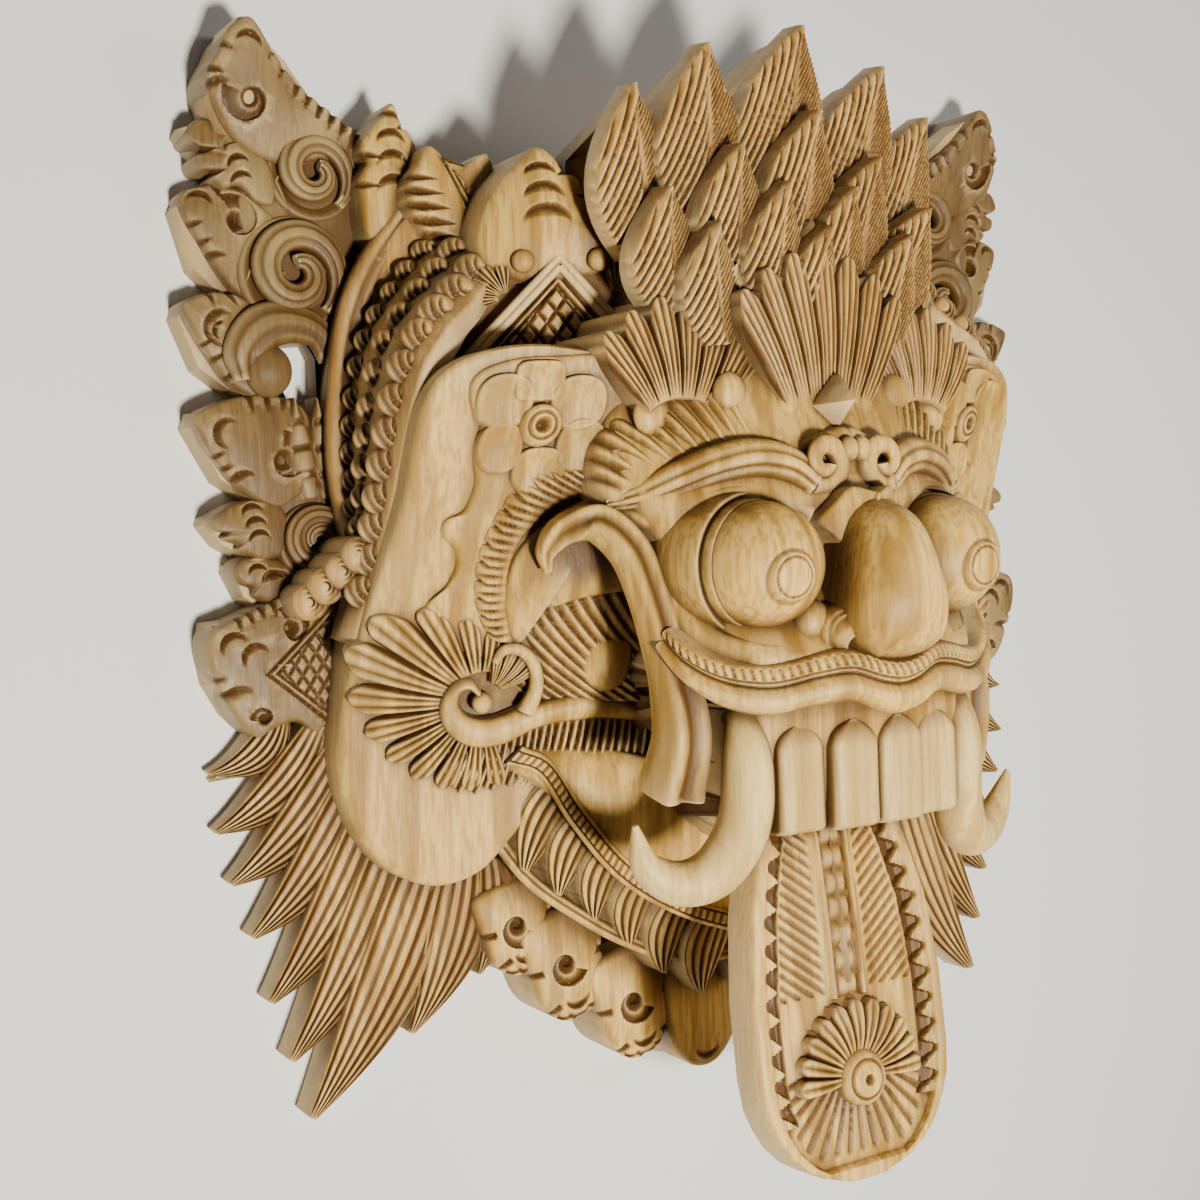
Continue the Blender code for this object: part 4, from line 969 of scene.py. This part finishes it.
def makeFace():
    half = [(0, 100), (40, 98), (60, 92), (70, 74), (72, 52), (64, 26), (54, 4), (47, -14), (42, -31), (0, -31)]
    shells = plate(full(half), (0, 30), faceTop, 40.0, None, 200, 60, 5, 0, False)
    # The nose: each section across is a rounded arch; it starts with a steep round end at the bridge
    y = np.linspace(35, -19.5, 110)
    high = soft(y, [-19.5, -16, -10, 0, 10, 20, 26, 30, 33, 35],
                [143, 153, 160, 163.5, 162.5, 159.5, 156, 151, 144, 136])
    wide = soft(y, [-19.5, -16, -10, 0, 10, 20, 28, 35], [8, 14, 17, 17, 15.5, 13, 10, 5])
    v = np.linspace(0, 2 * np.pi, 80, endpoint=False)
    c, w = np.cos(v), np.sin(v)
    bevel = 1.6 * bell(np.abs(c), 0.62, 0.10) * (w > 0) * np.clip((10 - y) / 20, 0, 1)[:, None]
    rings = np.stack([wide[:, None] * np.sign(c) * np.abs(c) ** 0.80, y[:, None] + 0 * v,
                      high[:, None] - 26 + 26 * np.sign(w) * np.abs(w) ** 0.75 + bevel], axis=-1)
    shells += shell(rings, 0, 0, False)
    # The saddle: two flat tablets that meet over the bridge
    shells += plate([(18.5, 27), (13, 33), (8, 37.5), (2, 36), (-2, 34), (-2, 24), (0, 17), (5, 16), (10, 17),
                     (15, 22)],
                    (6, 27), lambda a, y: 143.5 - 0.50 * a - 0.1 * (y - 27), 100.0, None, 100, 24, 1.2, 0.3)
    # The nostrils: a wing with an arch cut and a hole
    holes = carve(lambda p, q: -5 * np.clip(1.3 - away(p, q, 14.5, -12.5)[0] / 2.3, 0, 1),
                  crescent(15, -10, 6.4, 100, 1.2, 110), ringCut(15, -9, 7.2, 0.8, 0.7))
    shells += plate(ring(15.5, -8.5, 9.2), (15.5, -9),
                    lambda a, y: 145.5 - 0.45 * (a - 12) - 0.05 * (y + 9) ** 2 * 0.4, 118.0, holes, 110, 44, 4, 3)
    shells += ball((23.5, -4.5, 134), (6.5, 7, 6))
    # The bag under each eye, and the fold from the brow's outer end
    bag = line([(57, 30, 106), (57.5, 16, 106), (56, 2, 108), (51, -9, 115), (41, -13.5, 126), (29, -14.5, 132),
                (18, -17.5, 135)], 120)
    shells += tube(bag, [4, 5.5, 6.5, 7, 7, 6.5, 5.5], lambda s, v, r: -0.9 * bell(v, 0.9, 0.22), 36)
    fold = line([(70, 36, 92), (66, 31, 98), (60, 29, 104), (52, 33, 111), (40, 36.5, 117), (27, 35, 122),
                 (17, 29, 128)], 110)
    shells += tube(fold, [1.5, 3.2, 4.0, 4.2, 4.0, 3.6, 3.0], None, 30)
    piece("face", shells, paleWood)

    # Each eye is a ball; its pupil is a flat disc with a ring cut, and two lid ridges run close round it
    ca, cy, cz = face["eyeAt"]

    def pupil(a, y):
        r = away(a, y, *face["pupilAt"])[0]
        ball = cz + np.sqrt(np.maximum(face["eye"] ** 2 - (a - ca) ** 2 - (y - cy) ** 2, 0))
        flat = 149.4 - 0.16 * (y - 14) - ball
        step = np.clip((face["pupil"] - r) / 0.7, 0, 1)
        ringLine = 0.8 * np.clip(1 - np.abs(r - 6.3) / 0.7, 0, 1)
        return step * (0.5 + 0.3 * flat) - ringLine - 0.5 * np.clip(1 - np.abs(r - 8.5) / 0.8, 0, 1)
    shells = ball((ca, cy, cz), (face["eye"],) * 3, pupil, 130, 130)
    profile = np.array([(27.5, 94), (27, 101), (26.3, 106.5), (25.4, 111), (24.6, 115.5), (23.8, 119), (23.3, 121),
                        (22.8, 121.8), (22.2, 121.6), (21.7, 120.6), (21.4, 120.6), (21.2, 123), (20.9, 125.2),
                        (20.5, 126.2), (20.0, 125.6), (19.6, 122), (18, 112), (8, 108)], float)
    profile = even(curve(profile, steps=8), 110)
    turn = np.linspace(0, 2 * np.pi, 160, endpoint=False)[None, :]
    reach, rise = profile[:, :1], profile[:, 1:]
    lean = (3.4 * np.cos(turn) + 0.6 * np.sin(turn)) * np.clip((rise - 96) / 20, 0, 1) \
        - 5.5 * np.clip(np.cos(turn), 0, 1) * np.clip((reach - 23.5) / 4, 0, 1.5)
    rings = np.stack([ca + reach * np.cos(turn), cy + reach * np.sin(turn), rise + lean], axis=-1)
    shells += shell(rings)
    piece("eyes", shells, paleWood)

    # The brow pads with hair strokes, their double roll, the twin curls under the gem, and three drops
    outline = [(76, 40), (76, 52), (72, 60), (64, 67), (54, 72.5), (44, 75), (30, 73), (18, 64), (12, 54), (20, 48),
               (32, 47), (46, 44), (60, 37), (70, 33)]

    def hair(a, y):
        r, angle = away(a, y, 22, 4)
        close = np.clip((y - np.interp(a, [10, 20, 32, 46, 60, 72], [52, 51, 52, 50, 44, 38])) / 5, 0, 1)
        return -2.3 * vee(angle / 4.4 + 0.012 * r, 0.40) * close
    shells = plate(outline, (46, 56), lambda a, y: 126.5 - 0.42 * a - 0.16 * (y - 45), 60.0, hair, 260, 70, 3, 6.5)
    roll = line([(73, 35, 94), (66, 37, 100), (57, 41.5, 108), (46, 46, 115), (34, 48, 120), (23, 45.5, 124.5),
                 (15, 39, 128)], 140)
    shells += tube(roll, [2.2, 4.2, 5.6, 6.2, 6.4, 6.0, 4.6],
                   lambda s, v, r: -0.9 * (bell(v, 1.15, 0.15) + bell(v, 2.05, 0.15)), 52)
    # Twin curls: a band that comes from the roll, runs under and turns in upon itself
    turn = np.radians(np.linspace(-115, 330, 130))
    reach = np.linspace(8.0, 2.0, 130)
    path = np.column_stack([12.3 - reach * np.cos(turn), 46.2 + reach * np.sin(turn),
                            128.8 + 2.2 * np.linspace(0, 1, 130)])
    shells += tube(path, [3.0, 3.8, 3.4, 2.8, 2.4, 2.2], None, 26, 0.8)
    shells += plate([(0, 57), (8, 56), (16, 53), (20, 46), (16, 38), (9, 34), (0, 34), (-3, 46)], (8, 46),
                    lambda a, y: 129 - 0.25 * np.abs(a), 100.0, None, 90, 20, 3, 0.5)
    shells += ball((2.6, 50, 130.5), (3.4, 4.2, 3.0))
    for a, y, z, wide in ((34.5, 70, 109.5, 6.4), (59, 63.5, 100.5, 6.8), (15, 65, 115, 5.4)):
        shells += ball((a, y, z), (wide, wide * 1.1, 4.0))
    corners = np.array([(1, 75), (7.5, 66), (-1, 57), (-8, 65)], float)
    t = np.linspace(0, 1, 24, endpoint=False)[:, None]
    rim = np.concatenate([corners[k] * (1 - t) + corners[(k + 1) % 4] * t for k in range(4)])
    u = np.linspace(0.03, 1, 14)[:, None, None]
    flat = np.array([0.5, 66]) + u * (rim - [0.5, 66])
    height = 131 - 8 * u[..., 0] + 0 * flat[..., 0]
    rings = np.concatenate([np.dstack([flat, height]), np.dstack([flat[-1:], 0 * height[-1:] + 100])])
    shells += shell(rings, 0, 0, False)
    piece("brows", shells, paleWood)

    # The moustache band with slanted strokes, a thin line under it, and the thick waved lip: one surface,
    # whose height across follows a profile
    top = [(65, -5, 114), (61, -11.5, 122), (53, -16, 129), (41, -17.5, 136.5), (28, -15, 142.5), (17, -14, 146.5),
           (7, -17, 149), (0, -18, 149.5)]
    low = [(65, -12, 112), (61, -22, 118), (53, -30, 125), (41, -33.5, 133), (28, -31, 139), (17, -30, 143),
           (7, -34, 145.5), (0, -35.5, 146)]
    top, low = symmetric(top, 360), symmetric(low, 360)

    def profile(g):
        t = g.t
        high = np.interp(t, [-1, -0.9, -0.7, -0.45, -0.36, -0.30, -0.24, -0.18, -0.08, 0.15, 0.45, 0.75, 1],
                         [0, 1.6, 2.4, 2.2, 0.9, 1.6, 1.6, 0.6, 2.6, 4.6, 5.2, 4.0, 0.6])
        band = np.clip((t + 0.95) * 12, 0, 1) * np.clip((-0.42 - t) * 14, 0, 1)
        return high - 0.9 * band * vee((g.s + 4 * t) / 3.0, 0.36)
    shells = ribbon(top, low, profile, 84, 0.5, 0.6, thick=9, both=False)
    piece("lips", shells, paleWood)


makeFace()

# The mouth: gum, teeth, tusks, the curling skin at its corners and the hatched cheek beside it
mouth = {"tooth": 18.8}


def makeMouth():
    outline = full([(0, -22), (30, -22), (41, -22), (43, -38), (40, -52), (38, -64), (20, -66), (0, -66)])

    def gumTop(a, y):
        return 136 - 0.15 * np.abs(a) - 0.05 * (y + 24) - 0.10 * (-y - 36).clip(0)
    shells = plate(outline, (0, -44), gumTop, 60.0, None, 160, 30, 4, 0.5, False)
    piece("gum", shells, paleWood)
    # Each tooth: its face is a low arch across, its top end a half round, and it stands out from the gum
    shells = []
    t = np.linspace(0, 1, 70)[:, None]
    v = np.linspace(0, 2 * np.pi, 96, endpoint=False)[None, :]
    c, w = np.cos(v), np.sin(v)
    x = np.sign(c) * np.abs(c) ** 0.34
    for k in range(2):
        middle = (k + 0.5) * mouth["tooth"]
        run = -37.5 - 35.0 * t
        wide = mouth["tooth"] / 2 * 0.99 * np.sqrt(np.clip(1 - ((0.26 - t) / 0.26).clip(0) ** 2, 0.03, 1))
        top = 139.6 - 0.006 * middle**2 - 2.6 * ((0.20
                                                  - t) / 0.20).clip(0) ** 1.5 - 2.0 * ((t - 0.94) / 0.06).clip(0) ** 2
        arch = -1.5 * np.abs(x) ** 6 - 0.5 * bell(x, 0, 0.45)
        z = np.where(w > 0, top + arch - 4 * (1 - np.abs(w) ** 0.2), top - 16 - 6 * np.abs(w))
        shells += shell(np.stack([middle + wide * x, run + 0 * v, z + 0 * run], axis=-1),
                        np.clip(-arch / 3, 0, 0.6))
    path = line([(44.5, -33.5, 119), (44.5, -38, 124), (44.5, -52, 126), (45.5, -69, 124), (53, -83, 119),
                 (64, -86.5, 114.5), (75, -80, 112), (80, -66, 114)], 140)
    shells += tube(path, [4.5, 7.8, 8.7, 8.7, 8.4, 7.2, 4.8, 0.9], None, 44)
    piece("teeth", shells, tuskWood)

    def skinForm(s, v, r):
        return 0.16 * r * (bell(v, 0.85, 0.28) + bell(v, 2.25, 0.28)) \
            - 0.24 * r * bell(v, 1.55, 0.36)
    path = line([(87, 14, 77), (88.5, 21, 79), (84.5, 27.5, 84), (76, 29, 91), (69.5, 20, 99), (66.5, 7, 104),
                 (63.5, -8, 107), (61, -24, 110), (60, -41, 111), (61, -58, 105)], 170)
    shells = tube(path, [1.4, 4.6, 6.2, 6.4, 6.2, 6.4, 7.0, 8.2, 9.0, 10.0], skinForm, 56, 1.15)

    def cheekTop(a, y):
        return earTop(a, y) + 3 + 0.25 * (100 - a)
    # The smooth hollowed cheek, whose edge ends in a point over the hatching
    rear = [(64, 41), (72, 38), (80, 34.5), (88, 28), (93.5, 21), (96, 12), (96, 2), (93, -7), (89.5, -10),
            (88.5, -4), (86, 1.2), (80, 2), (72, 4.5), (62, 6), (46, 8), (40, 24), (44, 42)]
    shells += plate(rear, (76, 18), cheekTop, 30.0, lambda a, y: -2.2 * bell(away(a, y, 74, 20)[0], 0, 10), 220, 44,
                    1.6, 2.2)
    hatch = [(90, 2), (80, 6), (62, 10), (42, 8), (34, -14), (38, -31), (62, -32), (76, -31), (86, -27), (92, -14)]

    def strokes(a, y):
        return -1.4 * vee((0.72 * (a - 60) - 0.70 * y + 0.010 * (y + 14) ** 2) / 2.9, 0.34)
    shells += plate(hatch, (72, -12), over(cheekTop, -4.5), 30.0, strokes, 170, 60, 1.2, 2.5)
    shells += plate([(69, -14), (66, -10), (61, -9), (55, -11), (53, -18), (55, -26), (61, -29), (67, -25),
                     (69.5, -20)], (61.5, -18.5),
                    over(cheekTop, -3.6), 30.0, None, 110, 26, 2.4, 4.0)
    piece("mouthSkin", shells, paleWood)


makeMouth()

# The jaw with its beaded rim, the fluted leaves and the scrolled lobes under it
jaw = {"leaf": 8.5}


def makeJaw():
    low = symmetric([(92, -54, 46), (82, -58, 52), (67, -72, 58), (53, -91, 62), (35, -105, 68), (15, -113, 75),
                     (0, -115, 77)], 200)
    high = symmetric([(88, -44, 44), (78, -45, 48), (68, -46, 52), (56, -49, 58), (44, -53, 68), (30, -57, 84),
                      (15, -58, 91), (0, -58, 92)], 200)
    shells = ribbon(high, low, None, 50, 4, 1, thick=10, both=False)
    inside = symmetric([(86, -46, 53), (76, -52, 56), (66.5, -69, 60), (52, -88, 64), (34.5, -101.5, 70),
                        (15, -109.5, 77), (0, -111.5, 79)], 460)
    outside = symmetric([(92, -52, 51), (81, -57, 54), (71, -75, 58), (56, -95, 62), (37, -109, 68),
                         (16, -117.5, 75), (0, -119.5, 77)], 460)

    def beads(g):
        inner = np.abs(g.t) < 0.42
        return -1.1 * (vee((np.abs(g.t) - 0.5) / 0.9, 0.11)) - 0.8 * vee(g.s / 2.6, 0.3) * inner
    shells += ribbon(inside, outside, beads, 34, 1.4, 0.8, thick=7, both=False)
    piece("jaw", shells, paleWood)
    shells = []
    roots = [(72, -50), (66, -58), (57, -70), (47, -82), (36, -94), (23, -104), (9, -111)]
    tips = [(88, -76), (80, -92), (67, -102), (53, -113), (39, -125), (25, -137), (9, -147)]
    for k, (root, tip) in enumerate(zip(roots, tips)):
        shells += blade((*root, 52 + k), (*tip, 38 + 0.6 * k), jaw["leaf"] * 1.15, leafGrooves(2.5, 1.4, 0.28), 2.5,
                        0.2, 1.6, 80, 44, 10.0)
    lobes = [((78, -100), 14, 34, 24), ((60, -114), 15, 40, 26), ((33, -132), 15, 41, 28)]
    for (a, y), half, length, z in lobes:
        turn = math.atan2(-1.0, -0.20)
        ahead = np.array([math.cos(turn), math.sin(turn)])
        side = np.array([-ahead[1], ahead[0]])
        shape = [(0.0, 1.0), (0.5, 1.02), (0.8, 0.85), (0.97, 0.45), (1.0, 0.0), (0.95, -0.45), (0.78, -0.85),
                 (0.5, -1.0), (0.0, -1.0)]
        outline = [tuple(np.array([a, y]) + ahead * length * u + side * half * w) for u, w in shape]
        mid = np.array([a, y]) + ahead * length * 0.45
        eye = mid + side * 2
        tip = np.array([a, y]) + ahead * length
        cuts = carve(curl(eye[0], eye[1], 9, 1.3, 200, 1, 2.4, 0.34),
                     crescent(*(tip - ahead * 5.0), 4.5, -100, 2.2), crescent(*(tip - ahead * 10), 5, -100, 2.2),
                     crescent(*(tip - ahead * 5 + side * 6), 3, -80, 2),
                     crescent(*(tip - ahead * 6 - side * 6), 3, -120, 2),
                     nick(*(tip - ahead * 6 + side * half * 0.7), -40, 6),
                     nick(*(tip - ahead * 6 - side * half * 0.7), 220, 6), nick(*(mid + side * half), -10, 6),
                     nick(*(mid - side * half), 190, 6))
        shells += plate(outline, mid, flatTop(z), 0.5, cuts, 130, 40, 2.4, 3)
    middle = full([(0, -130), (15, -134), (18, -150), (15, -168), (8, -178), (0, -181)])
    shells += plate(middle, (0, -156), flatTop(30), 0.5, crescent(0, -172, 5, -90), 130, 34, 2.4, 3, False)
    rib = symmetric([(88, -82, 36), (76, -97, 36), (60, -110, 38), (42, -122, 40), (22, -131, 42), (0, -134, 43)],
                    300)
    shells += tube(rib, [2.6, 2.6], lambda s, v, r: -0.9 * bell(v, 1.57, 0.25), 24, both=False)
    piece("beard", shells, paleWood)


makeJaw()

# The tongue: a raised rim, saw teeth along it, a herringbone of strokes, a channel, and a fan flower
tongue = {"half": 40.0, "rimWidth": 4.2, "rimHeight": 2.8, "sawPitch": 8.8, "sawLength": 7.0, "bonePitch": 4.2}


def tongueTop(y):
    return np.interp(y, [-195, -156, -111, -80, -62], [126, 122, 117, 112, 100])


def makeTongue():
    y = np.concatenate([np.linspace(-58, -180, 190), -180 - 13.5 * np.sin(np.linspace(0, np.pi / 2, 50))[1:]])
    share = np.interp(-y, [58, 70, 84, 104, 130, 156, 166, 173, 180, 186, 190, 193.5],
                      [0.55, 0.66, 0.80, 0.93, 1.0, 1.0, 0.97, 0.90, 0.80, 0.65, 0.48, 0.20])
    half = tongue["half"] * share
    left = np.column_stack([-half, y, tongueTop(y) - tongue["rimHeight"]])
    right = np.column_stack([half, y, tongueTop(y) - tongue["rimHeight"]])

    def relief(g):
        a, y = np.abs(g.a), g.y
        rim = np.minimum(g.half - a, (y + 193.5) * 0.9 + 0.3)
        inner = np.clip((rim - tongue["rimWidth"]) / 1.2, 0, 1)
        floor = tongue["rimHeight"] * (1 - inner)
        saw = ((-y - 62) / tongue["sawPitch"] + 0.05 * rim) % 1
        tooth = np.clip((tongue["rimWidth"] + tongue["sawLength"] * saw - rim) / 0.8, 0, 1)
        gap = np.clip((rim - 4.4) / 0.8, 0, 1) * np.clip((11.4 - rim) / 0.8, 0, 1) * (1 - tooth)
        teeth = (1.6 * inner * tooth - 1.8 * gap) * (y > -172)
        bone = vee((-y + 0.75 * a) / tongue["bonePitch"], 0.36) * np.clip((rim - 11) / 2, 0,
                                                                          1) * np.clip((a - 9) / 1.5, 0,
                                                                                       1) * (y > -132)
        lane = 1.8 * bell(a, 6.2, 1.3) * (y > -134)
        bars = 1.6 * np.abs(np.sin(np.pi * (-y - 66) / 8.5)) * np.clip((4.6 - a) / 1.2, 0,
                                                                       1) * (y > -134) - 0.8 * (a < 5) * (y > -134)
        rays = vee(away(a, y, 0, -150)[1] / 9, 0.3) * np.clip((rim - 7) / 2, 0, 1) * (y < -158)
        return floor + teeth - 1.0 * bone + lane + bars - 1.2 * rays
    shells = ribbon(left, right, relief, 150, 0.6, 1.6, thick=12, both=False)
    shells += fanLeaf((0, -160), 26, -8, 188, 11, lambda a, y: tongueTop(y), 0.6, -0.05, 2, 0.84, 0.3, across=34,
                      steps=14, both=False, cut=2.0)
    shells += plate(ring(0, -160, 9.5), (0, -160), lambda a, y: tongueTop(y) + 3.2, 100.0,
                    carve(ringCut(0, -160, 6.4, 0.9, 1.0),
                          lambda a, y: -3 * np.clip(1 - away(a, y, 0, -160)[0] / 2, 0, 1)),
                    80, 30, 3, 2, False)
    piece("tongue", shells, paleWood)


makeTongue()


# Camera, floor and lights
view = {"turn": 30.86, "roll": 2.34, "tip": 2.51, "distance": 0.6327, "side": -0.026, "lens": 49.5}


def makeCamera():
    turn, roll, tip = (math.radians(view[key]) for key in ("turn", "roll", "tip"))
    back = Vector((-math.sin(turn) * math.cos(tip), math.sin(tip), math.cos(turn) * math.cos(tip)))
    right = Vector((math.cos(turn), 0, math.sin(turn)))
    up = back.cross(right)
    right, up = math.cos(roll) * right - math.sin(roll) * up, math.sin(roll) * right + math.cos(roll) * up
    place = Matrix((right, up, back)).transposed().to_4x4()
    place.translation = Vector((view["side"], -middleY * 0.001, 0.008)) + back * view["distance"]
    data = bpy.data.cameras.new("camera")
    data.lens, data.sensor_width = view["lens"], 36
    obj = bpy.data.objects.new("camera", data)
    obj.matrix_world = place
    bpy.context.scene.collection.objects.link(obj)
    bpy.context.scene.camera = obj


lamps = {  # place, width and watts of each soft light, and its colour
    "key": ((-0.16, -0.26, 0.98), 0.12, 18, (1.0, 0.95, 0.83)),
    "side": ((0.75, 0.25, 0.70), 0.40, 2.5, (1.0, 0.96, 0.88)),
}


def makeStudio():
    for name, (place, width, watts, color) in lamps.items():
        data = bpy.data.lights.new(name, "AREA")
        data.size, data.energy, data.color = width, watts, color
        obj = bpy.data.objects.new(name, data)
        obj.location = place
        obj.rotation_euler = (Vector((0, 0, 0.05)) - Vector(place)).to_track_quat("-Z", "Y").to_euler()
        bpy.context.scene.collection.objects.link(obj)
    world = bpy.data.worlds.new("studio")
    world.use_nodes = True
    world.node_tree.nodes["Background"].inputs["Color"].default_value = (0.9, 0.93, 1.0, 1)
    world.node_tree.nodes["Background"].inputs["Strength"].default_value = 0.07
    bpy.context.scene.world = world
    mesh = bpy.data.meshes.new("floor")
    mesh.from_pydata([(-3, -3, -0.0004), (3, -3, -0.0004), (3, 3, -0.0004), (-3, 3, -0.0004)], [], [(0, 1, 2, 3)])
    floor = bpy.data.objects.new("floor", mesh)
    pale = bpy.data.materials.new("paleFloor")
    pale.use_nodes = True
    pale.node_tree.nodes["Principled BSDF"].inputs["Base Color"].default_value = (0.88, 0.88, 0.87, 1)
    pale.node_tree.nodes["Principled BSDF"].inputs["Roughness"].default_value = 0.7
    mesh.materials.append(pale)
    bpy.context.scene.collection.objects.link(floor)


makeCamera()
makeStudio()
